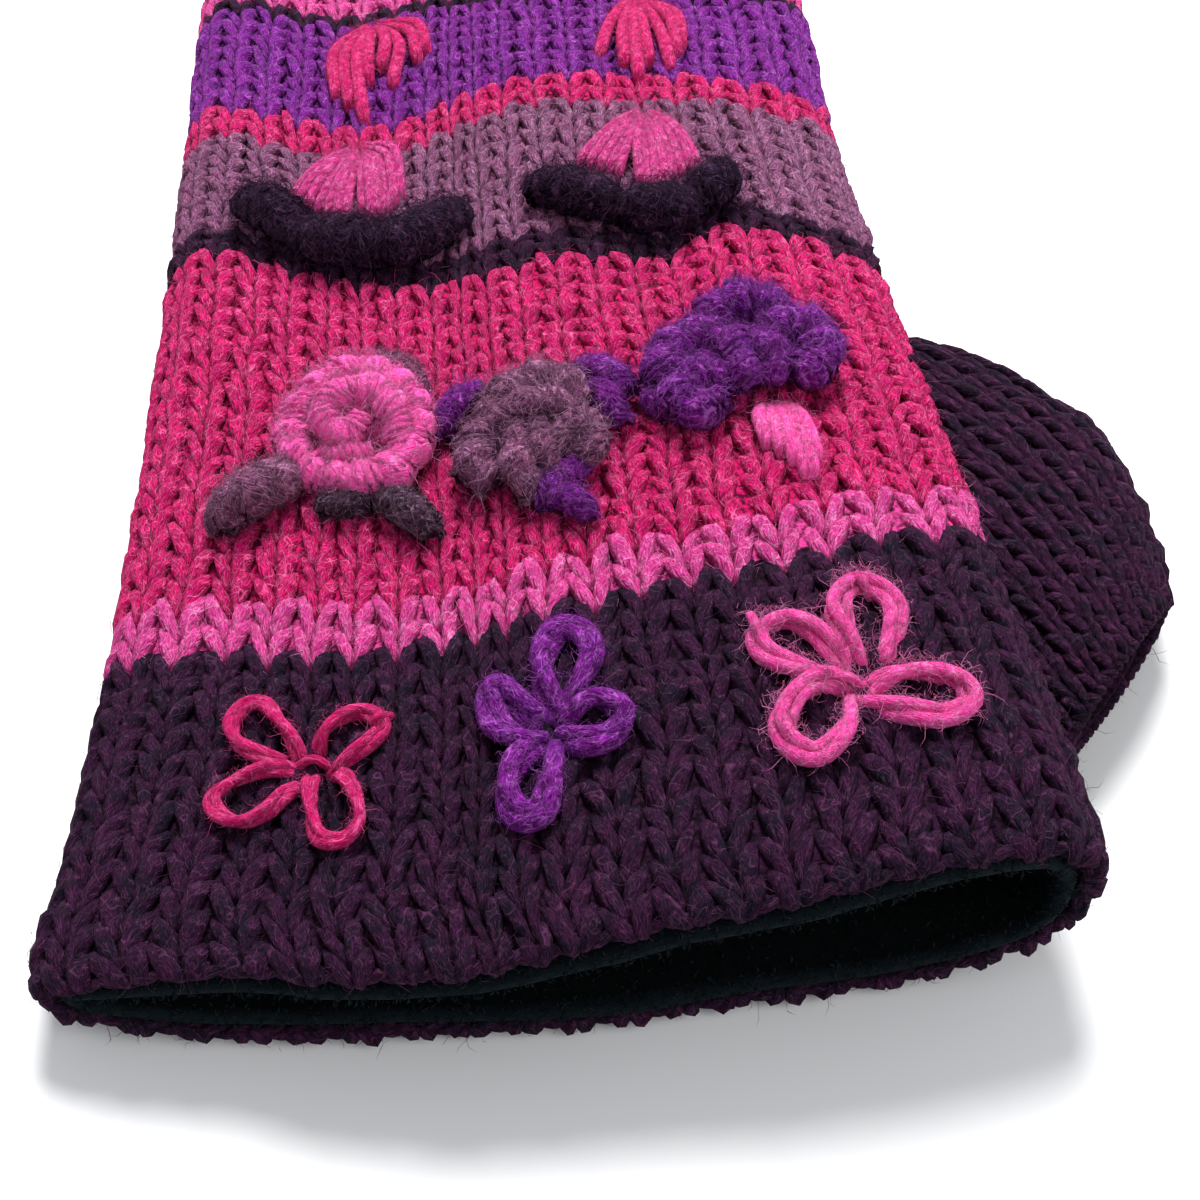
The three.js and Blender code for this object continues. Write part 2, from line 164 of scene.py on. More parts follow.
def smooth_rows(table, place):
    """Each column of a table at the places asked for, on a smooth curve through its rows."""
    table = np.array(table, float)
    at = table[:, 0]
    slopes = np.gradient(table, axis=0)
    slopes[1:-1] = (table[2:] - table[:-2]) / (at[2:] - at[:-2])[:, None]
    slopes[0] = (table[1] - table[0]) / (at[1] - at[0])
    slopes[-1] = (table[-1] - table[-2]) / (at[-1] - at[-2])
    place = np.clip(np.asarray(place, float), at[0], at[-1])
    i = np.clip(np.searchsorted(at, place, side="right") - 1, 0, len(at) - 2)
    span = (at[i + 1] - at[i])[..., None]
    t = ((place - at[i])[..., None]) / span
    return (
        table[i] * (2 * t**3 - 3 * t**2 + 1)
        + table[i + 1] * (3 * t**2 - 2 * t**3)
        + slopes[i] * span * (t**3 - 2 * t**2 + t)
        + slopes[i + 1] * span * (t**3 - t**2)
    )


def section_outline(section, inset):
    """The tube's cross-section as x and z round its angles."""
    _, middle, half_width, top, tilt, dip, lift = section
    angle = np.linspace(0, 2 * np.pi, ARC_STEPS + 1)
    turn = np.cos(angle)
    across = -np.sign(turn) * np.abs(turn) ** (2 / ROUNDNESS)
    swell = np.abs(np.sin(angle)) ** (2 / ROUNDNESS)
    crown = top + (tilt / 2) * across - dip * (1 - 2 * across**2)
    fold = crown / 2 + lift * np.maximum(0, across) ** 2
    upper = fold + (crown - inset - fold) * swell
    lower = np.maximum(inset, fold - (fold - inset + FLAT_STRIP) * swell)
    return middle + across * (half_width - inset), np.where(np.sin(angle) >= 0, upper, lower)


grid_rows = evenly(-MARGIN_ROWS, ROWS + MARGIN_ROWS, GRID_ROW)
grid_stitches = evenly(-MARGIN_STITCHES, STITCHES_ROUND + MARGIN_STITCHES, GRID_STITCH)


def cloth_grid(inset=0.0):
    """Points of the cloth on a fine grid of rows and stitches, in millimetres."""
    grid = np.zeros((len(grid_rows), len(grid_stitches), 3))
    for k, section in enumerate(smooth_rows(SECTIONS, grid_rows)):
        outer_x, outer_z = section_outline(section, 0.0)
        steps = np.hypot(np.diff(outer_x), np.diff(outer_z))
        length = np.concatenate([[0], np.cumsum(steps)])
        wanted = (grid_stitches / STITCHES_ROUND % 1) * length[-1]
        x, z = section_outline(section, inset)
        grid[k, :, 0] = np.interp(wanted, length, x)
        grid[k, :, 1] = (grid_rows[k] - ROWS / 2) * ROW
        grid[k, :, 2] = np.interp(wanted, length, z)
    return grid


def grid_normals(grid):
    along, around = np.gradient(grid, axis=(0, 1))
    normal = np.cross(around, along)
    return normal / np.linalg.norm(normal, axis=2, keepdims=True)


cloth_places = cloth_grid()
cloth_normals = grid_normals(cloth_places)


def from_grid(grid, stitch, row):
    """Reads a grid of the cloth between its points."""
    s = (np.asarray(stitch, float) % STITCHES_ROUND + MARGIN_STITCHES) / GRID_STITCH
    r = np.clip((np.asarray(row, float) + MARGIN_ROWS) / GRID_ROW, 0, len(grid_rows) - 1.001)
    i, j = np.floor(r).astype(int), np.floor(s).astype(int)
    a, b = (r - i)[..., None], (s - j)[..., None]
    low = grid[i, j] * (1 - b) + grid[i, j + 1] * b
    high = grid[i + 1, j] * (1 - b) + grid[i + 1, j + 1] * b
    return low * (1 - a) + high * a


def on_cloth(stitch, row, height=0.0):
    """Places on the cloth in metres, at a height in millimetres above it."""
    normal = from_grid(cloth_normals, stitch, row)
    normal /= np.linalg.norm(normal, axis=-1, keepdims=True)
    return (from_grid(cloth_places, stitch, row) + normal * np.asarray(height, float)[..., None]) * MM


# Hand knitting isn't even: the stitches crowd together under the left and the
# middle flowers, and rows wander up and down between the folds.
WALES_ROUND = 42
WALE_PLACES = (
    # wale, stitch at its middle
    (-0.5, -0.5), (0, 0.05), (1, 1.15), (3, 3.54), (5, 5.75), (6, 6.68), (8, 8.74), (9, 9.54), (10, 10.3),
    (11, 11.19), (13, 13.39), (15, 15.57), (17, 17.9), (19, 20.38), (21, 22.75), (31.5, 34.4), (41.5, 45.5),
)
ROW_DRIFT = (
    # row, then stitch and the rows by which it lies higher there
    (0, ((0, 1.2), (1.1, 1.0), (2.4, 0.85), (3.6, 0.7), (4.9, 0.4), (6.2, -0.1), (8.8, -0.55), (10, -0.45),
         (11.3, -0.3), (12.6, -0.1), (15.2, 0.0), (17, 0.3), (19, 0.65), (21.6, 0.9), (24.4, 0.4), (27, 0.2),
         (31, 0.0), (34.7, -0.3), (39.8, -0.05), (42.4, 0.3), (44.9, 0.9), (46, 1.2))),
    (12, ((0, 0.6), (0.5, 1.0), (3.5, 0.2), (5.7, -0.6), (7.6, -1.1), (8.7, -1.0), (10.3, -0.8),
          (11.2, -0.4), (13.4, -0.1), (15.6, 0.1), (17.9, 0.7), (19.1, 1.0), (20.4, 1.1), (21.5, 1.7),
          (23, 1.9), (25, 1.4), (28, 0.4), (44, 0), (46, 0.6))),
    (30, ((0, 2.2), (1.4, 3.5), (3.8, 1.6), (7.9, -1.4), (12.5, -0.4), (15.3, -1.2), (17.4, 0.9),
          (21.4, -0.9), (24, 0), (44, 0), (46, 2.2))),
    (33, ((0, 1.5), (1.4, 2.8), (3.8, 0.8), (7.9, -2.2), (12.5, -1.0), (15.3, -2.0), (17.4, 0.2),
          (21.4, -1.6), (24, 0), (44, 0), (46, 1.5))),
    (40, ((0, 1.2), (1.9, 1.7), (4, -0.5), (6, -2.0), (7.5, -2.5), (10, -0.6), (12.2, 1.0), (14.4, 0.6),
          (17.6, 0.4), (22.1, -0.5), (25, 0), (44, 0), (46, 1.2))),
    (49, ((0, 2.5), (1.4, 3.6), (3.2, 2.0), (5.9, -0.6), (8.9, 0.4), (12, 1.0), (18, 1.2), (22, 2.2),
          (26, 0), (43, 0), (46, 2.5))),
    (60, ((0, 0), (46, 0))),
)


def knit_to_cloth(wale, row):
    """Where a stitch of the knitting lies on the cloth, as stitch and row."""
    wale, row = np.asarray(wale, float), np.asarray(row, float)
    stitch = smooth_rows(WALE_PLACES, wale % WALES_ROUND)[..., 1]
    turn = stitch % STITCHES_ROUND
    lines = np.array([smooth_rows(places, turn)[..., 1] for _, places in ROW_DRIFT])
    at = np.array([row_line for row_line, _ in ROW_DRIFT], float)
    inside = np.clip(row, at[0], at[-1])
    i = np.clip(np.searchsorted(at, inside, side="right") - 1, 0, len(at) - 2)
    t = (inside - at[i]) / (at[i + 1] - at[i])
    t = t * t * (3 - 2 * t)
    low = np.take_along_axis(lines, i[None], axis=0)[0]
    high = np.take_along_axis(lines, (i + 1)[None], axis=0)[0]
    return stitch, row + low * (1 - t) + high * t


# The knitting: thick two-ply wool in plain stockinette, knitted from the finger
# opening up, so every V points at the opening. Each stitch is one V of two full
# slanting legs, and all are knitted flat and then drawn round the cloth's form.
WALE = STITCH * STITCHES_ROUND / WALES_ROUND
YARN = 1.05
YARN_FLATNESS = 0.86
MAP_WALES = 1.5
MAP_ROWS = 3.5


def strand(path, radius, sides=8, flatten=1.0, up=(0, 0, 1)):
    """One closed length of yarn along a path: its points, its faces, and u round and v along it."""
    path = np.asarray(path, float)
    count = len(path)
    radius = np.broadcast_to(np.asarray(radius, float), (count,))
    tangent = np.gradient(path, axis=0)
    tangent /= np.linalg.norm(tangent, axis=1, keepdims=True) + 1e-12
    up = np.broadcast_to(np.asarray(up, float), (count, 3))
    side = np.cross(tangent, up) + 1e-9
    side /= np.linalg.norm(side, axis=1, keepdims=True)
    out = np.cross(side, tangent)
    angle = 2 * np.pi * np.arange(sides) / sides - np.pi / 2
    ring = np.cos(angle)[None, :, None] * side[:, None]
    ring = ring + flatten * np.sin(angle)[None, :, None] * out[:, None]
    points = (path[:, None] + radius[:, None, None] * ring).reshape(-1, 3)
    faces, uvs = [], []
    along = np.concatenate([[0], np.cumsum(np.linalg.norm(np.diff(path, axis=0), axis=1))])
    for i in range(count - 1):
        for k in range(sides):
            n = (k + 1) % sides
            faces.append((i * sides + k, (i + 1) * sides + k, (i + 1) * sides + n, i * sides + n))
            near, far = k / sides, (k + 1) / sides
            uvs += [(near, along[i]), (near, along[i + 1]), (far, along[i + 1]), (far, along[i])]
    faces.append(tuple(range(sides)))
    uvs += [(k / sides, along[0]) for k in range(sides)]
    last = (count - 1) * sides
    faces.append(tuple(last + k for k in reversed(range(sides))))
    uvs += [(k / sides, along[-1]) for k in reversed(range(sides))]
    return points, faces, uvs


def give(mesh, **numbers):
    """Gives a mesh's points their own numbers, which the trees and the materials read by name."""
    for name, values in numbers.items():
        attribute = mesh.attributes.new(name, "FLOAT", "POINT")
        attribute.data.foreach_set("value", np.asarray(values, np.float32).ravel())


def yarn_object(name, strands, tones=None):
    """A mesh of closed strands, with the yarn's own coordinates, a tone for each strand and what shows."""
    points, faces, uvs, tone = [], [], [], []
    for number, (strand_points, strand_faces, strand_uvs) in enumerate(strands):
        start = len(points)
        points += strand_points.tolist()
        faces += [tuple(start + k for k in face) for face in strand_faces]
        uvs += strand_uvs
        tone += [0.5 if tones is None else tones[number]] * len(strand_points)
    thing = mesh_object(name, points, faces)
    layer = thing.data.uv_layers.new(name="yarn")
    layer.data.foreach_set("uv", np.array(uvs, np.float32).ravel())
    normals = np.zeros(len(points) * 3, np.float32)
    thing.data.vertices.foreach_get("normal", normals)
    give(thing.data, fibre=np.zeros(len(points)), tone=tone, showing=np.clip(normals[2::3], 0, 1))
    thing.data.shade_smooth()
    return thing


LEGS = (
    # two legs: across in wales, along in rows, height, share of the yarn's radius
    (
        (-0.06, -0.66, -0.92, 0.68),
        (-0.11, -0.20, -0.62, 0.86),
        (-0.18, 0.19, -0.44, 1.00),
        (-0.28, 0.62, -0.48, 1.02),
        (-0.37, 1.01, -0.96, 0.88),
        (-0.42, 1.33, -2.05, 0.50),
    ),
    (
        (0.07, -0.66, -0.92, 0.68),
        (0.12, -0.20, -0.60, 0.86),
        (0.19, 0.19, -0.40, 1.00),
        (0.29, 0.62, -0.44, 1.02),
        (0.38, 1.01, -0.94, 0.88),
        (0.43, 1.33, -2.05, 0.50),
    ),
)


def stitch_mesh(name, rings, sides):
    """One V, with a ring of its legs at each of the places given among their points."""
    legs = []
    for leg in LEGS:
        leg = np.stack([np.interp(rings, range(len(leg)), column) for column in zip(*leg)], axis=1)
        path = [(across * WALE, along * ROW, height) for across, along, height, _ in leg]
        legs.append(strand(path, [share * YARN for *_, share in leg], sides, YARN_FLATNESS))
    return yarn_object(name, legs)


# The loose ends of wool that stand out from any hand-spun yarn: thin and bent,
# some curled nearly round, each one a closed sliver.
FIBRE_SHAPES = (
    ((0, 0, -0.15), (0.7, 0.2, 0.25), (1.6, -0.15, 0.22)),
    ((0, 0, -0.15), (0.5, 0.45, 0.22), (0.3, 1.2, 0.30)),
    ((0, 0, -0.15), (0.8, -0.1, 0.15), (1.8, 0.4, 0.02)),
    ((0, 0, -0.15), (0.3, 0.2, 0.35), (0.2, 0.7, 0.65)),
    ((0, 0, -0.15), (0.5, 0.3, 0.30), (0.9, 1.3, 0.42), (0.2, 2.1, 0.30)),
    ((0, 0, -0.15), (0.9, 0.1, 0.28), (2.2, -0.4, 0.36), (3.4, 0.2, 0.20)),
)
CURL_SHAPES = (
    ((0, 0, -0.2), (0.4, 0.5, 0.45), (0.1, 1.2, 0.75), (-0.6, 1.3, 0.55)),
    ((0, 0, -0.2), (0.7, 0.1, 0.40), (1.3, -0.5, 0.50), (1.2, -1.3, 0.25)),
    ((0, 0, -0.2), (0.2, 0.4, 0.60), (0.8, 0.8, 1.00)),
    ((0, 0, -0.2), (0.9, 0.3, 0.25), (1.9, 0.2, 0.10), (2.6, -0.5, 0.25)),
    ((0, 0, -0.2), (0.3, 0.1, 0.55), (0.3, -0.5, 0.95), (0.9, -0.9, 0.90)),
)
FIBRE_THICKNESS = 0.034


def fibre_mesh(name, shape, thickness):
    """A bent sliver with a point at each end and a three-sided waist at each bend."""
    shape = np.array(shape, float)
    rings = [shape[0]]
    for centre in shape[1:-1]:
        for k in range(3):
            angle = 2 * np.pi * k / 3
            rings.append(centre + thickness * np.array([0, math.cos(angle), math.sin(angle)]))
    rings.append(shape[-1])
    last = len(rings) - 1
    faces = []
    for k in range(3):
        n = (k + 1) % 3
        faces += [(0, 1 + n, 1 + k), (last - 3 + k, last - 3 + n, last)]
        if last > 4:
            faces.append((1 + k, 1 + n, 4 + n, 4 + k))
    thing = mesh_object(name, rings, faces)
    thing.data.transform(Matrix.Scale(MM, 4))
    thing.data.uv_layers.new(name="yarn")
    give(thing.data, fibre=np.ones(len(rings)), tone=np.ones(len(rings)))
    return thing


def fibre_collection(name, shapes, thickness=FIBRE_THICKNESS):
    made = bpy.data.collections.new(name)
    for number, shape in enumerate(shapes):
        fibre = fibre_mesh(f"{name}_{number}", shape, thickness)
        bpy.context.scene.collection.objects.unlink(fibre)
        made.objects.link(fibre)
    return made


fibres = fibre_collection("fibres", FIBRE_SHAPES)
curls = fibre_collection("curls", CURL_SHAPES)


def quads(*corners):
    """Four-sided faces, from a grid of numbers for each of their corners."""
    return np.stack(corners, axis=-1).reshape(-1, 4).tolist()


def form_of(name, places, outward, wales, rows):
    """The form that flat work is drawn round, and how its flat map lies: the knitting tree's inputs."""
    width, length = float(wales[-1] - wales[0]), float(rows[-1] - rows[0])
    us, vs = (wales - wales[0]) / width, (rows - rows[0]) / length
    index = np.arange(places.shape[0] * places.shape[1]).reshape(places.shape[:2])
    faces = quads(index[:-1, :-1], index[:-1, 1:], index[1:, 1:], index[1:, :-1])
    form = mesh_object(name, places.reshape(-1, 3), faces)
    flat_map = np.stack(np.meshgrid(us, vs), axis=-1).reshape(-1, 2)
    layer = form.data.uv_layers.new(name="flat_map")
    corner = np.zeros(len(form.data.loops), np.int32)
    form.data.loops.foreach_get("vertex_index", corner)
    layer.data.foreach_set("uv", flat_map[corner].astype(np.float32).ravel())
    attribute = form.data.attributes.new("outward", "FLOAT_VECTOR", "POINT")
    attribute.data.foreach_set("vector", outward.reshape(-1, 3).astype(np.float32).ravel())
    scale = (1 / (WALE * width), 1 / (ROW * length), 0)
    offset = (float(-wales[0]) / width, float(-rows[0]) / length, 0)
    return {"form": form, "map_scale": scale, "map_offset": offset}


def new_tree(name, kind, inputs, outputs):
    """An empty node tree, with its named inputs and outputs."""
    tree = bpy.data.node_groups.new(name, kind)
    for key, socket, *value in inputs:
        made = tree.interface.new_socket(key, in_out="INPUT", socket_type=f"NodeSocket{socket}")
        if value:
            made.default_value = value[0]
    for key, socket in outputs:
        tree.interface.new_socket(key, in_out="OUTPUT", socket_type=f"NodeSocket{socket}")
    return tree, tree.nodes.new("NodeGroupInput").outputs, tree.nodes.new("NodeGroupOutput").inputs


def node(tree, kind, inputs=(), **settings):
    """A node with its settings, and with each input linked to an output or set to a value."""
    made = tree.nodes.new(kind)
    for key, value in settings.items():
        setattr(made, key, value)
    for key, value in dict(inputs).items():
        if isinstance(value, bpy.types.NodeSocket):
            tree.links.new(value, made.inputs[key])
        else:
            made.inputs[key].default_value = value
    return made


def maths(tree, a, operation, b=0.0):
    return node(tree, "ShaderNodeMath", {0: a, 1: b}, operation=operation).outputs[0]


def vectors(tree, operation, inputs):
    return node(tree, "ShaderNodeVectorMath", inputs, operation=operation).outputs[0]


def ranged(tree, value, low, high, to_low=0.0, to_high=1.0):
    """A value carried over from one range to another, and held there."""
    return node(tree, "ShaderNodeMapRange", {
        "Value": value, "From Min": low, "From Max": high, "To Min": to_low, "To Max": to_high}).outputs[0]


def by_chance(tree, low, high, seed):
    """A random vector between two others, one for each point."""
    return node(
        tree, "FunctionNodeRandomValue", {0: low, 1: high, "Seed": seed}, data_type="FLOAT_VECTOR",
    ).outputs["Value"]


def given_numbers(tree, name, kind="FLOAT"):
    """Numbers that the mesh carries for its points."""
    return node(tree, "GeometryNodeInputNamedAttribute", {"Name": name}, data_type=kind).outputs["Attribute"]


def finish_tree(tree, geometry, given, result):
    """Gives the work its material and hands it out."""
    painted = node(tree, "GeometryNodeSetMaterial", {"Geometry": geometry, "Material": given["Material"]})
    tree.links.new(painted.outputs["Geometry"], result["Geometry"])
    return tree


def knitting_tree():
    """Puts one stitch on each point of flat work and draws the work round its form."""
    tree, given, result = new_tree("knitting", "GeometryNodeTree", (
        ("Geometry", "Geometry"), ("Stitch", "Object"), ("Palm stitch", "Object"),
        ("Palm from", "Float", 0.0), ("Palm to", "Float", 0.0), ("Form", "Object"), ("Map scale", "Vector"),
        ("Map offset", "Vector"), ("Unevenness", "Float", 1.0), ("Seed", "Int", 0), ("Material", "Material"),
    ), (("Geometry", "Geometry"),))
    points = node(tree, "GeometryNodeMeshToPoints", {"Mesh": given["Geometry"]}).outputs["Points"]
    lean = by_chance(tree, (-0.10, -0.16, -0.07), (0.10, 0.16, 0.07), given["Seed"])
    size = by_chance(tree, (0.93, 0.94, 0.90), (1.05, 1.08, 1.12), given["Seed"])
    place = node(tree, "GeometryNodeInputPosition").outputs[0]
    parts = node(tree, "ShaderNodeSeparateXYZ", {0: place}).outputs
    beyond, before = (
        node(tree, "FunctionNodeCompare", {0: parts["X"], 1: given[edge]}, operation=side).outputs[0]
        for edge, side in (("Palm from", "GREATER_THAN"), ("Palm to", "LESS_THAN")))
    on_palm = node(tree, "FunctionNodeBooleanMath", {0: beyond, 1: before}, operation="AND")
    on_back = node(tree, "FunctionNodeBooleanMath", {0: on_palm.outputs[0]}, operation="NOT")
    flat_work = node(tree, "GeometryNodeJoinGeometry")
    for kind, chosen in (("Stitch", on_back), ("Palm stitch", on_palm)):
        stitch = node(tree, "GeometryNodeObjectInfo", {"Object": given[kind]})
        placed = node(tree, "GeometryNodeInstanceOnPoints", {
            "Points": points, "Selection": chosen.outputs[0], "Instance": stitch.outputs["Geometry"],
            "Rotation": lean, "Scale": size})
        realized = node(tree, "GeometryNodeRealizeInstances", {"Geometry": placed.outputs["Instances"]})
        tree.links.new(realized.outputs["Geometry"], flat_work.inputs[0])

    # A slow wander shifts the yarn sideways and up and down, as hand tension does.
    wander = node(
        tree, "ShaderNodeTexNoise", {"Scale": 0.16, "Detail": 3.0, "Roughness": 0.45}, noise_dimensions="3D")
    centred = vectors(tree, "SUBTRACT", {0: wander.outputs["Color"], 1: (0.5, 0.5, 0.5)})
    amount = vectors(tree, "MULTIPLY", {0: centred, 1: (2.4, 2.6, 1.6)})
    uneven = vectors(tree, "SCALE", {0: amount, "Scale": given["Unevenness"]})
    wandered = node(
        tree, "GeometryNodeSetPosition", {"Geometry": flat_work.outputs["Geometry"], "Offset": uneven})

    # Each point goes to its place on the form, and its height above the flat work outwards from there.
    form = node(tree, "GeometryNodeObjectInfo", {"Object": given["Form"]}).outputs["Geometry"]
    mapped = vectors(tree, "MULTIPLY_ADD", {0: place, 1: given["Map scale"], 2: given["Map offset"]})
    flat_map = given_numbers(tree, "flat_map", "FLOAT_VECTOR")
    on_form, outward = (
        node(tree, "GeometryNodeSampleUVSurface", {
            "Mesh": form, "Value": value, "Source UV Map": flat_map, "Sample UV": mapped,
        }, data_type="FLOAT_VECTOR").outputs["Value"]
        for value in (place, given_numbers(tree, "outward", "FLOAT_VECTOR")))
    raised = vectors(tree, "SCALE", {0: outward, "Scale": maths(tree, parts["Z"], "MULTIPLY", MM)})
    total = vectors(tree, "ADD", {0: on_form, 1: raised})
    drawn = node(
        tree, "GeometryNodeSetPosition", {"Geometry": wandered.outputs["Geometry"], "Position": total})
    return finish_tree(tree, drawn.outputs["Geometry"], given, result)


def fuzz_tree():
    """Raises loose fibres on the yarn, turned and sized by chance, and presses all flat at the table."""
    tree, given, result = new_tree("fuzz", "GeometryNodeTree", (
        ("Geometry", "Geometry"), ("Fibres", "Collection"), ("Density", "Float", 100000.0),
        ("Size", "Float", 1.0), ("Seed", "Int", 0), ("Material", "Material"),
    ), (("Geometry", "Geometry"),))

    # The hidden underside gets few fibres.
    normal = node(tree, "GeometryNodeInputNormal").outputs[0]
    up = node(tree, "ShaderNodeSeparateXYZ", {0: normal}).outputs["Z"]
    upward = ranged(tree, up, -0.3, 0.1, 0.12, 1.0)
    share = maths(tree, given_numbers(tree, "showing"), "MULTIPLY", upward)
    sown = node(tree, "GeometryNodeDistributePointsOnFaces", {
        "Mesh": given["Geometry"], "Density": maths(tree, given["Density"], "MULTIPLY", share),
        "Seed": given["Seed"]}, distribute_method="RANDOM")
    spin = by_chance(tree, (-0.5, -0.3, -math.pi), (0.5, 0.3, math.pi), given["Seed"])
    turned = node(
        tree, "FunctionNodeRotateRotation", {"Rotation": sown.outputs["Rotation"], "Rotate By": spin},
        rotation_space="LOCAL")
    length = by_chance(tree, (0.5, 0.5, 0.4), (1.5, 1.5, 1.2), given["Seed"])
    choice = node(tree, "GeometryNodeCollectionInfo", {
        "Collection": given["Fibres"], "Separate Children": True, "Reset Children": True})
    fibre = node(tree, "GeometryNodeInstanceOnPoints", {
        "Points": sown.outputs["Points"], "Instance": choice.outputs[0], "Pick Instance": True,
        "Rotation": turned.outputs[0], "Scale": vectors(tree, "SCALE", {0: length, "Scale": given["Size"]})})
    both = node(tree, "GeometryNodeJoinGeometry", {0: fibre.outputs["Instances"]})
    tree.links.new(given["Geometry"], both.inputs[0])
    whole = node(tree, "GeometryNodeRealizeInstances", {"Geometry": both.outputs[0]})
    place = node(tree, "GeometryNodeInputPosition").outputs[0]
    above_table = vectors(tree, "MAXIMUM", {0: place, 1: (-1, -1, 0)})
    pressed = node(
        tree, "GeometryNodeSetPosition", {"Geometry": whole.outputs["Geometry"], "Position": above_table})
    return finish_tree(tree, pressed.outputs["Geometry"], given, result)


knitting = knitting_tree()
fuzz = fuzz_tree()


def worked(carrier, tree, **inputs):
    """Runs a Geometry Nodes tree on an object and leaves the plain mesh that it makes."""
    modifier = carrier.modifiers.new(tree.name, "NODES")
    modifier.node_group = tree
    for item in tree.interface.items_tree:
        key = item.name.lower().replace(" ", "_")
        if item.item_type == "SOCKET" and item.in_out == "INPUT" and key in inputs:
            modifier[item.identifier] = inputs[key]
    bpy.context.view_layer.update()
    evaluated = carrier.evaluated_get(bpy.context.evaluated_depsgraph_get())
    mesh = bpy.data.meshes.new_from_object(evaluated)
    carrier.modifiers.remove(modifier)
    spent = carrier.data
    carrier.data = mesh
    mesh.name = carrier.name
    bpy.data.meshes.remove(spent)
    return carrier


# Wool's surface, used by every yarn: combed fibres and streaks along its two
# twisted plies, paler flecks where another colour is carded in, single fibres
# that catch the light, painted as highlights, and painted shade between the plies.
def noise_on(tree, scale, detail, roughness=0.5):
    """A noise that stays with the object."""
    where = node(tree, "ShaderNodeTexCoord").outputs["Object"]
    return node(tree, "ShaderNodeTexNoise", {
        "Vector": where, "Scale": scale, "Detail": detail, "Roughness": roughness}).outputs["Fac"]


def wool_group():
    tones = [(name, "Color", (0.5, 0.5, 0.5, 1)) for name in ("Deep", "Main", "Other", "Pale")]
    group, given, result = new_tree("wool", "ShaderNodeTree", (
        *tones, ("Twist length", "Float", 5.0), ("Fleck", "Float", 0.16), ("Bright", "Float", 0.55),
        ("Halo", "Float", 0.5),
    ), (("Color", "Color"), ("Height", "Float")))
    yarn_map = node(group, "ShaderNodeUVMap", uv_map="yarn").outputs[0]
    parts = node(group, "ShaderNodeSeparateXYZ", {0: yarn_map}).outputs
    around, along = parts["X"], parts["Y"]
    tone, fibre = (
        node(group, "ShaderNodeAttribute", attribute_name=name).outputs["Fac"] for name in ("tone", "fibre"))

    def sum_of(a, operation, b):
        return maths(group, a, operation, b)

    # Fibres lie nearly along the yarn, so their noise is stretched along it.
    def along_yarn(round_scale, along_scale, lean, detail):
        leaning = sum_of(around, "ADD", sum_of(along, "MULTIPLY", lean))
        place = node(group, "ShaderNodeCombineXYZ", {
            "X": sum_of(leaning, "MULTIPLY", round_scale), "Y": sum_of(along, "MULTIPLY", along_scale),
            "Z": sum_of(tone, "MULTIPLY", 40.0)})
        return node(group, "ShaderNodeTexNoise", {
            "Vector": place.outputs[0], "Scale": 1.0, "Detail": detail, "Roughness": 0.7, "Distortion": 0.5,
        }).outputs["Fac"]

    def all_round(scale, detail):
        return noise_on(group, scale, detail, 0.7)

    def mixed(factor, a, b):
        return node(group, "ShaderNodeMix", {"Factor": factor, 6: a, 7: b}, data_type="RGBA").outputs[2]

    turns = sum_of(along, "DIVIDE", given["Twist length"])
    ply = sum_of(sum_of(around, "ADD", turns), "MULTIPLY", 2 * math.pi)
    crest = sum_of(sum_of(ply, "SINE", 0), "ABSOLUTE", 0)
    streaks = along_yarn(26.0, 0.8, 0.03, 3.0)
    combed = sum_of(sum_of(along_yarn(9.0, 0.32, 0.04, 1.5), "MULTIPLY", 11.0), "PINGPONG", 1.0)
    cloud = all_round(420.0, 4.0)
    body = ranged(group, streaks, 0.36, 0.62)
    # The grooves between the plies are darkened towards Deep as painted shade; the cloud and the combing
    # vary the tone at random.
    for pattern, low, high, darkest in (
        (crest, 0.0, 0.5, 0.45), (cloud, 0.3, 0.6, 0.55), (combed, 0.0, 0.8, 0.38)
    ):
        body = sum_of(body, "MULTIPLY", ranged(group, pattern, low, high, darkest, 1.0))
    body = sum_of(body, "MAXIMUM", fibre)
    patches = ranged(group, all_round(260.0, 2.0), 0.44, 0.60)
    colour = mixed(body, given["Deep"], mixed(patches, given["Main"], given["Other"]))
    flecks = sum_of(ranged(group, all_round(1500.0, 2.0), 0.52, 0.7), "MULTIPLY", given["Fleck"])
    colour = mixed(flecks, colour, given["Pale"])

    # Single fibres that catch the light: pale lines where a noise crosses a value,
    # broken up by a second noise, mostly along the yarn and a few curling across it.
    bright = 0.0
    for crossed, value, width, breaks in (
        # noise, the value that it crosses, the line's width, scale of the noise that breaks the line
        (along_yarn(11.0, 0.42, 0.05, 0.5), 0.5, 0.045, 640.0),
        (along_yarn(15.0, 0.6, -0.07, 0.5), 0.46, 0.05, 800.0),
        (all_round(190.0, 1.0), 0.5, 0.010, 330.0),
        (all_round(330.0, 1.0), 0.46, 0.016, 450.0),
    ):
        away = sum_of(sum_of(crossed, "SUBTRACT", value), "ABSOLUTE", 0)
        broken = ranged(group, all_round(breaks, 1.0), 0.45, 0.6)
        line = sum_of(ranged(group, away, 0.0, width, 1.0, 0.0), "MULTIPLY", broken)
        bright = sum_of(line, "MAXIMUM", bright)
    colour = mixed(sum_of(bright, "MULTIPLY", given["Bright"]), colour, given["Pale"])
    # Loose fibres are mixed towards Pale: painted light, for the light that shines through them.
    colour = mixed(sum_of(fibre, "MULTIPLY", given["Halo"]), colour, given["Pale"])
    group.links.new(colour, result["Color"])
    height = crest
    for relief, amount in ((streaks, 1.3), (cloud, 0.6), (combed, 0.5), (bright, 0.3)):
        height = sum_of(height, "ADD", sum_of(relief, "MULTIPLY", amount))
    group.links.new(height, result["Height"])
    return group


wool = wool_group()


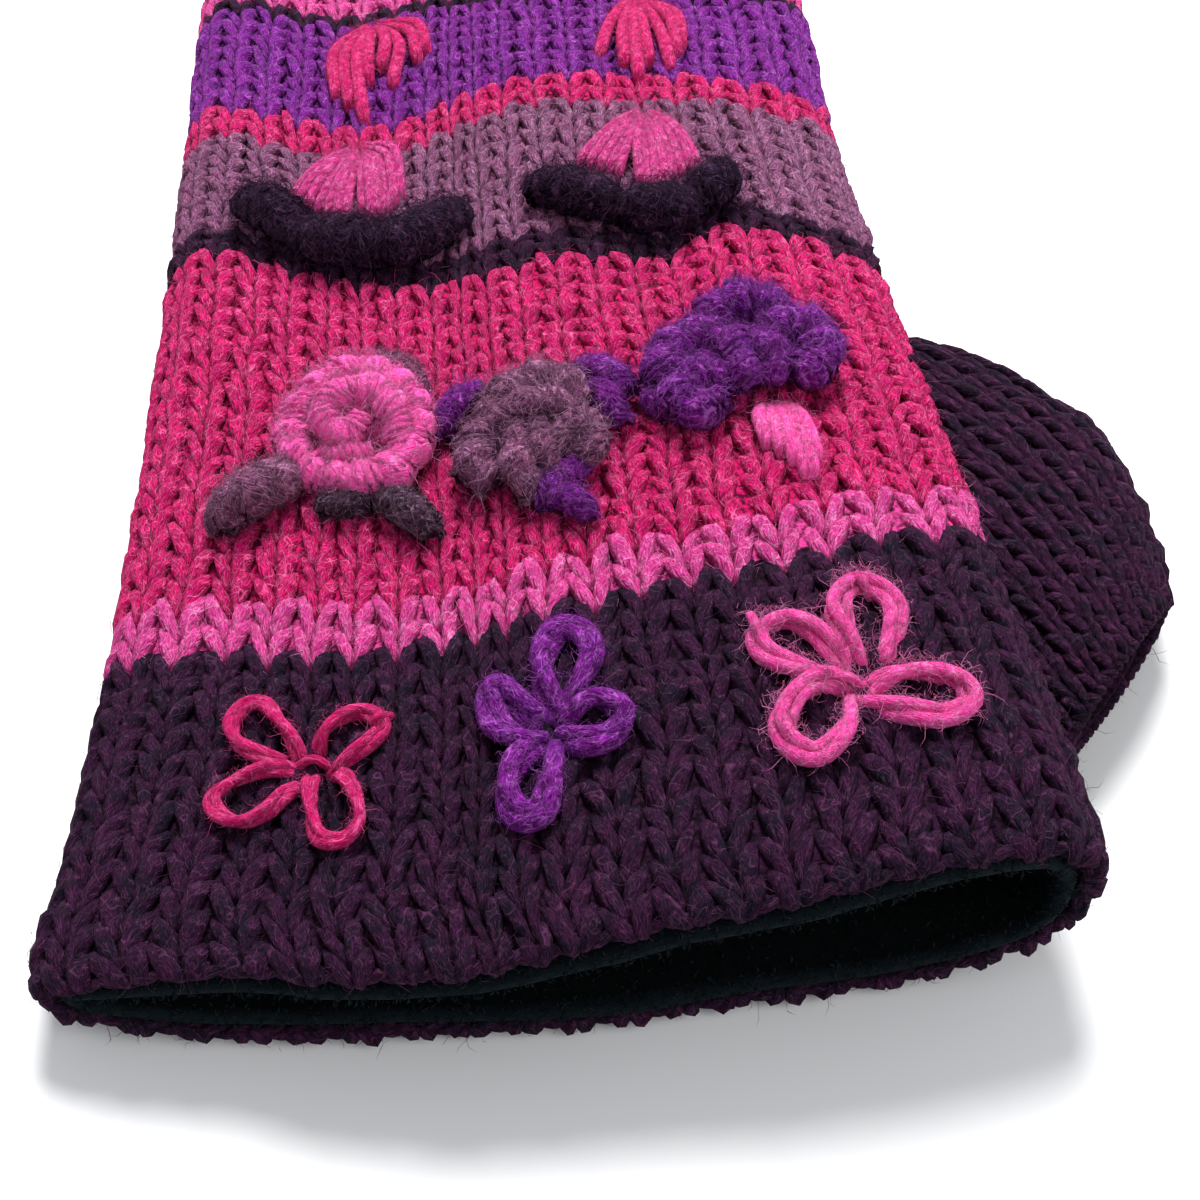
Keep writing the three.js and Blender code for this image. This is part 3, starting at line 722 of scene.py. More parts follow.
def painted(material, surface, colour, height, depth, strength=1.0):
    """Gives a surface its colour, and fine relief from a height, so many millimetres deep."""
    tree = material.node_tree
    bump = node(tree, "ShaderNodeBump", {"Height": height, "Distance": depth * MM, "Strength": strength})
    tree.links.new(colour, surface.inputs["Base Color"])
    tree.links.new(bump.outputs["Normal"], surface.inputs["Normal"])
    return material


def wool_material(name, deep, main, other, pale, bright=0.55, halo=0.5, sheen=0.1):
    material, surface = shader(name, {
        "Roughness": 0.85, "Specular IOR Level": 0.06, "Sheen Weight": sheen, "Sheen Roughness": 0.45,
        "Sheen Tint": (*pale, 1)})
    yarn = node(material.node_tree, "ShaderNodeGroup", {
        "Deep": (*deep, 1), "Main": (*main, 1), "Other": (*other, 1), "Pale": (*pale, 1), "Bright": bright,
        "Halo": halo}, node_tree=wool)
    return painted(material, surface, yarn.outputs["Color"], yarn.outputs["Height"], 0.35, 0.8)


aubergine = wool_material(
    "aubergine_wool", (0.005, 0.002, 0.008), (0.050, 0.008, 0.041), (0.007, 0.008, 0.017),
    (0.15, 0.045, 0.12), bright=0.5)
dark = wool_material(
    "dark_wool", (0.003, 0.001, 0.005), (0.016, 0.006, 0.021), (0.011, 0.005, 0.018),
    (0.15, 0.06, 0.15), halo=0.45)
pink = wool_material(
    "pink_wool", (0.28, 0.008, 0.10), (0.92, 0.090, 0.40), (0.78, 0.055, 0.32), (1.0, 0.36, 0.68))
fan_pink = wool_material(
    "fan_wool", (0.32, 0.009, 0.11), (0.83, 0.058, 0.33), (0.72, 0.042, 0.27), (1.0, 0.31, 0.62))
# The flowers' pink is the pink yarn made brighter all through: painted light that offsets the shade among
# its wraps and curls.
flower_pink = wool_material(
    "flower_wool", (0.97, 0.062, 0.38), (1.0, 0.125, 0.50), (1.0, 0.095, 0.45), (1.0, 0.38, 0.72),
    halo=0.6, sheen=0.35)
crimson = wool_material(
    "crimson_wool", (0.16, 0.001, 0.030), (0.90, 0.010, 0.19), (0.70, 0.006, 0.165), (1.0, 0.17, 0.42),
    bright=0.65, halo=0.6)
daisy_pink = wool_material(
    "daisy_pink_wool", (0.76, 0.036, 0.27), (1.0, 0.105, 0.47), (1.0, 0.085, 0.42), (1.0, 0.36, 0.68),
    halo=0.6, sheen=0.25)
daisy_crimson = wool_material(
    "daisy_wool", (0.38, 0.003, 0.07), (0.74, 0.018, 0.19), (0.60, 0.011, 0.16), (1.0, 0.18, 0.45))
mauve = wool_material(
    "mauve_wool", (0.050, 0.012, 0.034), (0.37, 0.104, 0.245), (0.25, 0.080, 0.185),
    (0.66, 0.33, 0.54), halo=0.6)
dark_leaf = wool_material(
    "leaf_wool", (0.055, 0.016, 0.038), (0.33, 0.092, 0.21), (0.22, 0.070, 0.16),
    (0.62, 0.29, 0.47), halo=0.55)
# The lower leaf's yarn is the leaf wool made darker: painted shade below the pink flower.
shaded_leaf = wool_material(
    "shaded_leaf_wool", (0.012, 0.005, 0.011), (0.085, 0.030, 0.065), (0.055, 0.022, 0.048),
    (0.40, 0.24, 0.36))
purple = wool_material(
    "purple_wool", (0.045, 0.001, 0.058), (0.30, 0.014, 0.36), (0.19, 0.010, 0.29),
    (0.56, 0.16, 0.66), halo=0.45)

# The hand's knitting: stripes of wool in five colours, knitted one after the
# other into a single tube, whose first and last rows roll inwards.
HEM_RADIUS = 1.5
HEM_ROWS = HEM_RADIUS / ROW
PALM_LIFT = 0.55


def hemmed(wale, row):
    """Places and outward directions of the knitting, which rolls inwards at its two edges."""
    straight = np.clip(row, HEM_ROWS, ROWS - HEM_ROWS)
    stitch, at = knit_to_cloth(wale, straight)
    half = GRID_ROW / 2
    along = from_grid(cloth_places, stitch, at + half) - from_grid(cloth_places, stitch, at - half)
    along /= np.linalg.norm(along, axis=-1, keepdims=True)
    normal = from_grid(cloth_normals, stitch, at)
    turn = ((row - straight) * ROW / HEM_RADIUS)[..., None]
    place = on_cloth(stitch, at)
    place[..., 2] = np.maximum(place[..., 2], PALM_LIFT * MM)
    place += HEM_RADIUS * MM * (along * np.sin(turn) - normal * (1 - np.cos(turn)))
    return place, normal * np.cos(turn) + along * np.sin(turn)


wales = evenly(-MAP_WALES, WALES_ROUND + MAP_WALES, GRID_STITCH)
map_rows = evenly(-MAP_ROWS, ROWS + MAP_ROWS, GRID_ROW)
tube_form = form_of("tube_form", *hemmed(*np.meshgrid(wales, map_rows)), wales, map_rows)
HEM_RINGS = (0, 0.6, 1.2, 1.8, 2.5, 3, 4, 5)
BACK_RINGS = (0, 1, 2, 3, 4, 5)
PALM_RINGS = (0, 2, 4, 5)
hem_stitch = stitch_mesh("hem_stitch", HEM_RINGS, sides=7)
stitch = stitch_mesh("stitch", BACK_RINGS, sides=5)
palm_stitch = stitch_mesh("palm_stitch", PALM_RINGS, sides=4)
PALM_FROM = 22.5 * WALE
PALM_TO = 40.5 * WALE

BANDS = (
    # name, first row, rows, yarn, loose fibres for a square metre of yarn, their size
    ("knit_hem_row", 0, 1, aubergine, 1200000, 0.7),
    ("knit_aubergine_hand", 1, 11, aubergine, 750000, 0.85),
    ("knit_pink_stripe", 12, 2, pink, 1200000, 0.9),
    ("knit_crimson_band", 14, 16, crimson, 1000000, 0.95),
    ("knit_ridge", 30, 2, aubergine, 1300000, 1.0),
    ("knit_mauve_band", 32, 8, mauve, 1050000, 1.0),
    ("knit_crimson_stripe", 40, 2, crimson, 1100000, 0.9),
    ("knit_purple_band", 42, 7, purple, 850000, 0.9),
    ("knit_dark_stripe", 49, 1, aubergine, 1000000, 0.9),
    ("knit_pink_cuff", 50, 4, pink, 500000, 0.9),
    ("knit_aubergine_cuff", 54, 5, aubergine, 350000, 0.8),
    ("knit_cuff_row", 59, 1, aubergine, 500000, 0.7),
)


def on_body(piece, slot, *replaced):
    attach(piece, "root")
    if replaced:
        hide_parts(*replaced)
    return piece


# On the palm side, which lies on the table, the legs have fewer faces. The first
# and the last row, which roll inwards, have more of them all round.
for number, (name, first, count, yarn, density, size) in enumerate(BANDS):
    rows, columns = np.meshgrid(np.arange(first, first + count), np.arange(WALES_ROUND))
    places = np.stack([columns.ravel() * WALE, rows.ravel() * ROW, np.zeros(rows.size)], axis=1)
    band = mesh_object(name, places, [])
    end_row = first in (0, ROWS - 1)
    worked(
        band, knitting, stitch=hem_stitch if end_row else stitch, palm_stitch=palm_stitch,
        palm_from=PALM_FROM, palm_to=PALM_FROM if end_row else PALM_TO, unevenness=1.0, seed=number,
        material=yarn, **tube_form,
    )
    worked(band, fuzz, fibres=fibres, density=float(density), size=size, seed=number, material=yarn)
    on_body(band, "striped_knit", "knit_tube")

# The ground of the knitting: the backs of the loops, pulled close behind the
# V's, dark because little light gets there. It closes the gaps between them.
GROUND_DEPTH = 0.85
GROUND_BACK = 2.9
GROUND_SHADE = 0.42
GROUND_WALE = 0.5
GROUND_ROW = 1.5


def tube_shell(name, places, outward, outer, inner):
    """A closed wall between two heights over a grid of places, joined round both its ends."""
    rows, columns = places.shape[:2]
    walls = [(places + outward * height * MM).reshape(-1, 3) for height in (outer, inner)]
    index = np.arange(rows * columns).reshape(rows, columns)
    index = np.concatenate([index, index[:, :1]], axis=1)
    back = index + rows * columns
    faces = quads(index[:-1, :-1], index[:-1, 1:], index[1:, 1:], index[1:, :-1])
    faces += quads(back[:-1, :-1], back[1:, :-1], back[1:, 1:], back[:-1, 1:])
    faces += quads(index[0, :-1], back[0, :-1], back[0, 1:], index[0, 1:])
    faces += quads(index[-1, :-1], index[-1, 1:], back[-1, 1:], back[-1, :-1])
    thing = mesh_object(name, np.concatenate(walls), faces)
    thing.data.shade_smooth()
    return thing


def wool_ground_material():
    """The bands' colours, darkened as painted shade and grained, by the row that each point of the ground
    belongs to.
    """
    material, surface = shader("wool_ground", {"Roughness": 0.95, "Specular IOR Level": 0.1})
    tree = material.node_tree
    row = node(tree, "ShaderNodeAttribute", attribute_name="row").outputs["Fac"]
    ramp = node(tree, "ShaderNodeValToRGB", {"Fac": maths(tree, row, "DIVIDE", ROWS)})
    ramp.color_ramp.interpolation = "CONSTANT"
    while len(ramp.color_ramp.elements) < len(BANDS):
        ramp.color_ramp.elements.new(0.5)
    for stop, (_, first, _, yarn, _, _) in zip(ramp.color_ramp.elements, BANDS):
        stop.position = first / ROWS
        tones = yarn.node_tree.nodes["Group"].inputs
        pairs = zip(tones["Deep"].default_value, tones["Main"].default_value)
        stop.color = [low + GROUND_SHADE * (high - low) for low, high in pairs]
    grain = noise_on(tree, 1300.0, 3.0)
    lit = ranged(tree, grain, 0.40, 0.60, 0.12, 1.0)
    grained = vectors(tree, "SCALE", {0: ramp.outputs["Color"], "Scale": lit})
    return painted(material, surface, grained, grain, 0.5)


ground_wales, ground_rows = np.meshgrid(np.arange(0, WALES_ROUND, GROUND_WALE), evenly(0, ROWS, GROUND_ROW))
ground = tube_shell("knit_ground", *hemmed(ground_wales, ground_rows), -GROUND_DEPTH, -GROUND_BACK)
give(ground.data, row=np.tile(ground_rows.ravel(), 2))
ground_wool = wool_ground_material()
ground.data.materials.append(ground_wool)
on_body(ground, "striped_knit", "knit_tube")

# The cast-off: at both ends of the knitting the last loops are drawn over each
# other, which leaves two strands of its wool twisted round the edge.
EDGE_RADIUS = 0.40
EDGE_YARN = 0.58
EDGE_STEPS = 9
EDGE_DEPTH = 1.25
EDGE_ROW = 0.12
EDGE_NEXT = 0.05


def edge_cord(places, outward, inward, turns):
    """Two strands twisted along a closed line of places, all in millimetres."""
    count = turns * EDGE_STEPS + 1
    at = np.linspace(0, len(places), count)
    wrap = np.arange(len(places) + 1)

    def spread(values):
        values = np.vstack([values, values[:1]])
        return np.stack([np.interp(at, wrap, column) for column in values.T], axis=1)

    centre, up, across = spread(places), spread(outward), spread(inward)
    strands = []
    for phase in (0, np.pi):
        angle = (2 * np.pi * np.arange(count) / EDGE_STEPS + phase)[:, None]
        path = centre + EDGE_RADIUS * (np.cos(angle) * up + np.sin(angle) * across)
        strands.append(strand(path, EDGE_YARN, sides=6, up=up))
    return strands


edge_wales = np.arange(0, WALES_ROUND, GROUND_WALE)
edge_strands = []
for edge_row in (EDGE_ROW, ROWS - EDGE_ROW):
    places, outward = hemmed(edge_wales, np.full(edge_wales.shape, edge_row))
    beyond, _ = hemmed(edge_wales, np.full(edge_wales.shape, edge_row + EDGE_NEXT))
    along = beyond - places
    along /= np.linalg.norm(along, axis=1, keepdims=True)
    edge_strands += edge_cord(places / MM - EDGE_DEPTH * outward, outward, along, WALES_ROUND)
edges = yarn_object("knit_cast_off", edge_strands)
edges.data.transform(Matrix.Scale(MM, 4))
worked(edges, fuzz, fibres=curls, density=1000000.0, size=1.0, seed=3, material=aubergine)
on_body(edges, "striped_knit", "knit_tube")

# The lining: a tube of thick teal fleece sewn in just inside both edges. Its
# brushed pile makes a soft round rim that stands a little out of the knitting.
FLEECE_OUTER = 2.9
FLEECE_THICK = 1.4
FLEECE_LIP = (
    (0, -0.1), (2, 0.0), (21, 0.0), (24, -0.05), (27, -0.15), (31, -0.15), (33.5, -0.05), (36, -0.15),
    (39, -0.3), (42, -0.3), (45, -0.15), (46, -0.1),
)
FLEECE_RIM_STEPS = 5
FLEECE_FRINGE = 4
FLEECE_FRINGE_TUFTS = 0.12
FLEECE_LIT_RIM_FROM = 0.3
FLEECE_LUMP = 0.45
FLEECE_LUMP_SCALE = 0.55
FLEECE_FINE = 0.6
FLEECE_COARSE = 3.0
FLEECE_NEAR = 12
FLEECE_FAR = ROWS - 4
FLEECE_FOLLOWS = 6
TUFT_SHAPES = (
    ((0, 0, -0.25), (0.15, 0.1, 0.35), (0.5, 0.1, 0.6)),
    ((0, 0, -0.25), (-0.1, 0.2, 0.4), (-0.4, 0.4, 0.55)),
    ((0, 0, -0.25), (0.05, -0.25, 0.35), (0.2, -0.7, 0.5)),
)
TUFT_THICKNESS = 0.12
tufts = fibre_collection("tufts", TUFT_SHAPES, TUFT_THICKNESS)
fleece_stitches = np.arange(0, STITCHES_ROUND, 0.5)
fleece_wall = cloth_grid(FLEECE_OUTER + FLEECE_THICK / 2)


def fleece_line(row, depth):
    """A line of places round the lining, at rows and at a share of half its thickness inwards."""
    wales = fleece_stitches / STITCHES_ROUND * WALES_ROUND
    ends = np.clip(np.broadcast_to(row, wales.shape), 0, ROWS)
    _, drifted = knit_to_cloth(wales, ends)
    share = np.clip(1 - np.minimum(ends, ROWS - ends) / FLEECE_FOLLOWS, 0, 1)
    rows = row + (drifted - ends) * share
    places = from_grid(fleece_wall, fleece_stitches, rows)
    normals = from_grid(cloth_normals, fleece_stitches, rows)
    bumps = np.array([noise.noise(Vector(place) * FLEECE_LUMP_SCALE) for place in places])
    inwards = depth * FLEECE_THICK / 2 - FLEECE_LUMP * bumps * max(0, depth)
    return (places - normals * inwards[:, None]) * MM


def fleece_lining():
    """The lining's inner face, from a round rim at the finger opening to one at the cuff, and its back."""
    half_turn = np.linspace(-np.pi / 2, np.pi / 2, FLEECE_RIM_STEPS)
    rim = FLEECE_THICK / 2 / ROW
    lip = np.interp(fleece_stitches, *zip(*FLEECE_LIP))
    inside_rows = np.concatenate([
        np.arange(FLEECE_FINE, FLEECE_NEAR, FLEECE_FINE), np.arange(FLEECE_NEAR, FLEECE_FAR, FLEECE_COARSE),
        np.arange(FLEECE_FAR, ROWS - 0.5, FLEECE_FINE)])
    outside_rows = (ROWS - FLEECE_FINE, ROWS * 0.75, ROWS * 0.5, ROWS * 0.25, FLEECE_FINE)
    lines = [fleece_line(rim - lip - rim * math.cos(turn), math.sin(turn)) for turn in half_turn]
    lines += [fleece_line(np.maximum(row, 2 * rim - lip), 1.0) for row in inside_rows]
    lines += [
        fleece_line(ROWS - rim + lip + rim * math.cos(turn), -math.sin(turn))
        for turn in reversed(half_turn)]
    lines += [fleece_line(np.maximum(row, 2 * rim - lip), -1.0) for row in outside_rows]
    rings, count = len(lines), len(fleece_stitches)
    index = np.arange(rings * count).reshape(rings, count)
    index = np.concatenate([index, index[:1]])
    index = np.concatenate([index, index[:, :1]], axis=1)
    faces = quads(index[:-1, :-1], index[1:, :-1], index[1:, 1:], index[:-1, 1:])
    lining = mesh_object("fleece_pile", np.concatenate(lines), faces)
    lining.data.shade_smooth()
    lining.data.uv_layers.new(name="yarn")
    ends = np.zeros((rings, count), np.float32)
    ends[:FLEECE_RIM_STEPS] = 1
    ends[FLEECE_RIM_STEPS:FLEECE_RIM_STEPS + FLEECE_FRINGE] = FLEECE_FRINGE_TUFTS
    # The rims are marked for the painted light that the fleece gives them and their tufts; the inner face
    # keeps the painted shade.
    give(lining.data, showing=ends, fibre=np.clip(ends - FLEECE_LIT_RIM_FROM, 0, 1), tone=ends * 0)
    return lining


def fleece_material():
    """Dark teal, painted nearly black as the shade inside the tube, paler at the rim and on its tufts as
    painted light, with a clumped grain.
    """
    material, surface = shader("teal_fleece", {
        "Roughness": 0.95, "Specular IOR Level": 0.08, "Sheen Weight": 0.02, "Sheen Roughness": 0.5,
        "Sheen Tint": (0.20, 0.38, 0.40, 1)})
    tree = material.node_tree
    clumps = noise_on(tree, 700.0, 4.0, 0.7)
    # The pile's colour is painted nearly black: painted shade inside the tube.
    ramp = node(tree, "ShaderNodeValToRGB", {"Fac": clumps})
    for stop, position, colour in zip(
        ramp.color_ramp.elements, (0.35, 0.7), ((0.0002, 0.0005, 0.0007, 1), (0.0010, 0.0022, 0.0028, 1))
    ):
        stop.position = position
        stop.color = colour
    # The rim and its tufts are painted paler: painted light where the lamps reach them.
    fibre = node(tree, "ShaderNodeAttribute", attribute_name="fibre").outputs["Fac"]
    lit_rim = node(
        tree, "ShaderNodeMix", {"Factor": fibre, 6: ramp.outputs["Color"], 7: (0.0050, 0.0090, 0.0125, 1)},
        data_type="RGBA")
    return painted(material, surface, lit_rim.outputs[2], clumps, 0.5, 0.9)


fleece = fleece_material()
pile = fleece_lining()
pile.data.materials.append(fleece)
worked(pile, fuzz, fibres=tufts, density=5500000.0, size=1.0, seed=5, material=fleece)
on_body(pile, "fleece", "fleece_lining")

# The thumb sleeve: a short tube of finer knitting that comes out of the side.
# Its stitches are drawn round a form of its own, and those that would lie
# inside the hand's tube are left out.
THUMB_SECTIONS = (
    # step, middle, from the finger opening, height, half width, half height, turn
    (0, 33.3, 83.0, 12.6, 12.4, 5.8, 35),
    (1, 44.9, 72.6, 10.2, 18.4, 6.6, 35),
    (2, 54.6, 59.8, 7.9, 21.0, 6.6, 36),
    (3, 60.3, 46.8, 6.3, 17.8, 6.1, 40),
    (4, 62.5, 33.9, 5.8, 13.6, 5.8, 45),
)
THUMB_WALL = 2.8
THUMB_ROUNDNESS = 2.3
THUMB_WALES = 20
THUMB_ROWS = 18
THUMB_STEPS = 4
THUMB_YARN = 0.85
THUMB_ROLL = 1.2
THUMB_ROLL_FROM = 0.45
THUMB_ROW = 0.75 * ROW
THUMB_HIDDEN = 0.8
THUMB_PALM_FROM = 11.0 * WALE
THUMB_PALM_TO = 18.9 * WALE
THUMB_EDGE_TURNS = 24
HAND_ROW = 5


def thumb_line(row):
    """Places round the thumb sleeve at a row from its mouth, in millimetres."""
    step = THUMB_STEPS * (1 - row / THUMB_ROWS)
    _, middle, away, height, half_width, half_height, turn = smooth_rows(THUMB_SECTIONS, [step])[0]
    angle = np.linspace(0, 2 * np.pi, ARC_STEPS + 1)
    across = np.sign(np.cos(angle)) * np.abs(np.cos(angle)) ** (2 / THUMB_ROUNDNESS) * half_width
    up = np.sign(np.sin(angle)) * np.abs(np.sin(angle)) ** (2 / THUMB_ROUNDNESS) * half_height
    length = np.concatenate([[0], np.cumsum(np.hypot(np.diff(across), np.diff(up)))])
    wanted = (thumb_wales / THUMB_WALES % 1) * length[-1]
    turn = math.radians(turn)
    across, up = np.interp(wanted, length, across), np.interp(wanted, length, up)
    y = away - ROWS / 2 * ROW + math.sin(turn) * across
    return np.stack([middle + math.cos(turn) * across, y, height + up], axis=1)


thumb_wales = evenly(-MAP_WALES, THUMB_WALES + MAP_WALES, GRID_STITCH)
thumb_rows = evenly(-MAP_ROWS, THUMB_ROWS, GRID_ROW)
thumb_places = np.array([thumb_line(max(row, 0.0)) for row in thumb_rows])
thumb_along, thumb_around = np.gradient(thumb_places, axis=(0, 1))
MOUTH = int(MAP_ROWS / GRID_ROW)

# What lies before the mouth goes on as straight as the rows just after it, and
# then the first rows roll inwards there.
thumb_along[:MOUTH + 1] = thumb_along[MOUTH + 2]
thumb_outward = np.cross(thumb_along, thumb_around)
thumb_outward /= np.linalg.norm(thumb_outward, axis=2, keepdims=True)
thumb_along /= np.linalg.norm(thumb_along, axis=2, keepdims=True)

thumb_turn = np.minimum(thumb_rows + THUMB_ROLL_FROM, 0)[:, None, None] * THUMB_ROW / THUMB_ROLL
rolled = thumb_along * np.sin(thumb_turn) - thumb_outward * (1 - np.cos(thumb_turn))
thumb_places = thumb_places + THUMB_ROLL * rolled
thumb_outward = thumb_outward * np.cos(thumb_turn) + thumb_along * np.sin(thumb_turn)
thumb_form = form_of("thumb_form", thumb_places * MM, thumb_outward, thumb_wales, thumb_rows)


def in_tube(place, margin):
    """Whether a place in millimetres lies inside the hand's tube by at least a margin."""
    _, middle, half_width, top, tilt, dip, lift = smooth_rows(SECTIONS, [place[1] / ROW + ROWS / 2])[0]
    across = (place[0] - middle) / (half_width - margin)
    if abs(across) >= 1:
        return False
    swell = (1 - abs(across) ** ROUNDNESS) ** (1 / ROUNDNESS)
    crown = top + (tilt / 2) * across - dip * (1 - 2 * across**2)
    fold = crown / 2 + lift * max(0, across) ** 2
    upper = fold + (crown - fold) * swell - margin
    lower = max(0.0, fold - (fold + FLAT_STRIP) * swell) + margin
    return lower < place[2] < upper


thumb_points = []
for row in range(THUMB_ROWS - 2):
    for wale in range(THUMB_WALES):
        at = int((row + 0.5 + MAP_ROWS) / GRID_ROW), int((wale + MAP_WALES) / GRID_STITCH)
        if not in_tube(thumb_places[at], THUMB_HIDDEN):
            thumb_points.append((wale * WALE, row * ROW, 0))
thumb_stitch = stitch_mesh("thumb_stitch", BACK_RINGS, sides=5)
thumb_palm_stitch = stitch_mesh("thumb_palm_stitch", PALM_RINGS, sides=4)
for made in (thumb_stitch, thumb_palm_stitch):
    made.data.transform(Matrix.Diagonal((1, 1, THUMB_YARN, 1)))
thumb_knit = mesh_object("thumb_knit", thumb_points, [])
worked(
    thumb_knit, knitting, stitch=thumb_stitch, palm_stitch=thumb_palm_stitch, palm_from=THUMB_PALM_FROM,
    palm_to=THUMB_PALM_TO, unevenness=0.8, seed=21, material=aubergine, **thumb_form,
)
worked(thumb_knit, fuzz, fibres=curls, density=850000.0, size=1.0, seed=21, material=aubergine)
on_body(thumb_knit, "aubergine_knit", "thumb_sleeve")

# Its ground has the painted shade of the hand's ground in a row of the aubergine band, and its mouth
# is cast off with two twisted strands as the hand's edges are.
first = int(MAP_WALES / GRID_STITCH)
around = slice(first, first + int(THUMB_WALES / GRID_STITCH), 2)
thumb_ground = tube_shell(
    "thumb_ground", thumb_places[MOUTH::2, around] * MM, thumb_outward[MOUTH::2, around],
    -GROUND_DEPTH, -THUMB_WALL,
)
give(thumb_ground.data, row=np.full(len(thumb_ground.data.vertices), HAND_ROW))
thumb_ground.data.materials.append(ground_wool)
on_body(thumb_ground, "aubergine_knit", "thumb_sleeve")
mouth_out = thumb_outward[MOUTH, around]
mouth_cord = edge_cord(
    thumb_places[MOUTH, around] - mouth_out, mouth_out, thumb_along[MOUTH, around], THUMB_EDGE_TURNS)
thumb_edge = yarn_object("thumb_cast_off", mouth_cord)
thumb_edge.data.transform(Matrix.Scale(MM, 4))
worked(thumb_edge, fuzz, fibres=fibres, density=900000.0, size=0.8, seed=4, material=aubergine)
on_body(thumb_edge, "aubergine_knit", "thumb_sleeve")

# The embroidery. Its yarn lies on the cloth along rounded lines of stitch, row
# and height, and both ends of each strand dive into the knitting.
def rounded_line(points, steps):
    """A smooth line through the points given, with so many steps from each to the next."""
    points = np.asarray(points, float)
    ends = np.vstack([2 * points[0] - points[1], points, 2 * points[-1] - points[-2]])
    t = np.arange(steps)[:, None] / steps
    spans = [
        b + 0.5 * t * (c - a + t * (2 * a - 5 * b + 4 * c - d + t * (3 * (b - c) + d - a)))
        for a, b, c, d in zip(ends, ends[1:], ends[2:], ends[3:])
    ]
    return np.vstack([*spans, points[-1:]])


def over_cloth(line):
    """A line of stitch, row and height as places in millimetres, and the way outwards at each."""
    stitch, row, height = line[:, :3].T
    return on_cloth(stitch, row, height) / MM, from_grid(cloth_normals, stitch, row)


def laid(line, radius, flatten=1.0):
    """A strand of yarn laid on the cloth, in millimetres."""
    places, up = over_cloth(line)
    return strand(places, radius, flatten=flatten, up=up)


def motif(name, way, yarn, slot, strands, density, size):
    """Joins a motif's strands, fuzzes them and puts them in place of the plain one."""
    # Strands that lie side by side differ in tone.
    tones = [0.2 + 0.6 * ((number * 7) % 10) / 10 for number in range(len(strands))]
    piece = yarn_object(f"{name}_{way}", strands, tones)
    piece.data.transform(Matrix.Scale(MM, 4))
    worked(piece, fuzz, fibres=curls, density=float(density), size=size, seed=len(strands), material=yarn)
    on_body(piece, slot, name)


# The daisies near the finger opening: each has open loops of two-ply yarn that
# start and end at its middle, and two have a few small stitches over them.
DAISY_HEIGHT = 1.0
DIVE = -0.9


def plied(line, ply, apart, twist):
    """Two plies of yarn that twist round each other along a line on the cloth."""
    places, up = over_cloth(line)
    side = np.cross(np.gradient(places, axis=0), up)
    side /= np.linalg.norm(side, axis=1, keepdims=True)
    along = np.concatenate([[0], np.cumsum(np.linalg.norm(np.diff(places, axis=0), axis=1))])
    strands = []
    for phase in (0.0, np.pi):
        angle = (2 * np.pi * along / twist + phase)[:, None]
        path = places + apart * (np.cos(angle) * side + np.sin(angle) * up)
        strands.append(strand(path, ply, sides=7, up=up))
    return strands


def loops(rounds, shift, ply, apart, twist):
    """Open loops of yarn, each from the daisy's middle and back to it, all shifted by so many stitches."""
    strands = []
    for places in rounds:
        heights = [DIVE] + [DAISY_HEIGHT] * (len(places) - 2) + [DIVE]
        points = [(stitch + shift, row, height) for (stitch, row), height in zip(places, heights)]
        strands += plied(rounded_line(points, 4), ply, apart, twist)
    return strands


LEFT_DAISY = (
    ((5.4, 7.1), (5.2, 7.9), (4.8, 8.8), (4.5, 9.4), (4.1, 9.5), (3.8, 9.0), (3.9, 8.3), (4.3, 7.7),
     (5.2, 7.2)),
    ((5.7, 7.3), (5.9, 7.9), (6.4, 8.4), (6.9, 8.3), (7.2, 7.7), (6.9, 7.2), (6.5, 6.8), (6.0, 6.6)),
    ((5.4, 6.9), (4.9, 6.9), (4.2, 6.8), (3.6, 6.3), (3.8, 5.6), (4.3, 5.2), (4.8, 5.4), (5.2, 5.9),
     (5.5, 6.5)),
    ((5.6, 6.7), (5.7, 6.0), (5.8, 5.0), (6.0, 4.2), (6.5, 4.0), (6.8, 4.5), (6.7, 5.4), (6.4, 6.2),
     (6.1, 6.5)),
)
MIDDLE_DAISY = (
    ((10.9, 7.2), (10.7, 8.2), (10.7, 9.3), (11.1, 10.3), (11.6, 10.1), (11.8, 9.2), (11.5, 8.3),
     (11.0, 7.3)),
    ((10.9, 7.1), (11.4, 7.4), (11.9, 7.4), (12.3, 6.8), (12.0, 6.1), (11.5, 6.0), (10.9, 6.6)),
    ((10.7, 7.0), (10.2, 7.5), (9.8, 8.5), (9.5, 8.4), (9.6, 7.2), (10.0, 6.6), (10.6, 6.5)),
    ((10.6, 6.5), (10.1, 5.8), (9.8, 4.8), (10.0, 3.9), (10.5, 3.9), (10.7, 5.0), (10.9, 6.2)),
)
RIGHT_DAISY = (
    ((17.2, 6.6), (17.8, 6.9), (18.6, 6.9), (19.2, 6.4), (19.2, 5.7), (18.6, 5.3), (17.8, 5.6), (17.0, 6.3)),
    ((17.1, 6.9), (16.4, 7.0), (15.7, 6.5), (15.3, 5.8), (15.4, 4.9), (15.9, 4.4), (16.5, 5.0), (16.9, 6.4)),
    ((17.0, 7.6), (16.5, 8.8), (15.9, 9.4), (15.3, 9.1), (15.3, 8.3), (15.9, 7.6), (16.8, 7.4)),
    ((17.2, 7.5), (17.1, 8.4), (17.0, 9.7), (17.6, 10.5), (18.2, 10.1), (18.3, 9.1), (17.8, 7.6)),
)
LEFT_STITCHES = (
    ((7.3, 7.7, 0.3), (7.45, 7.9, 2.0), (7.65, 8.2, 0.3)),
    ((5.5, 7.0, -0.6), (6.0, 7.0, 0.9), (6.4, 6.8, -0.6)),
)
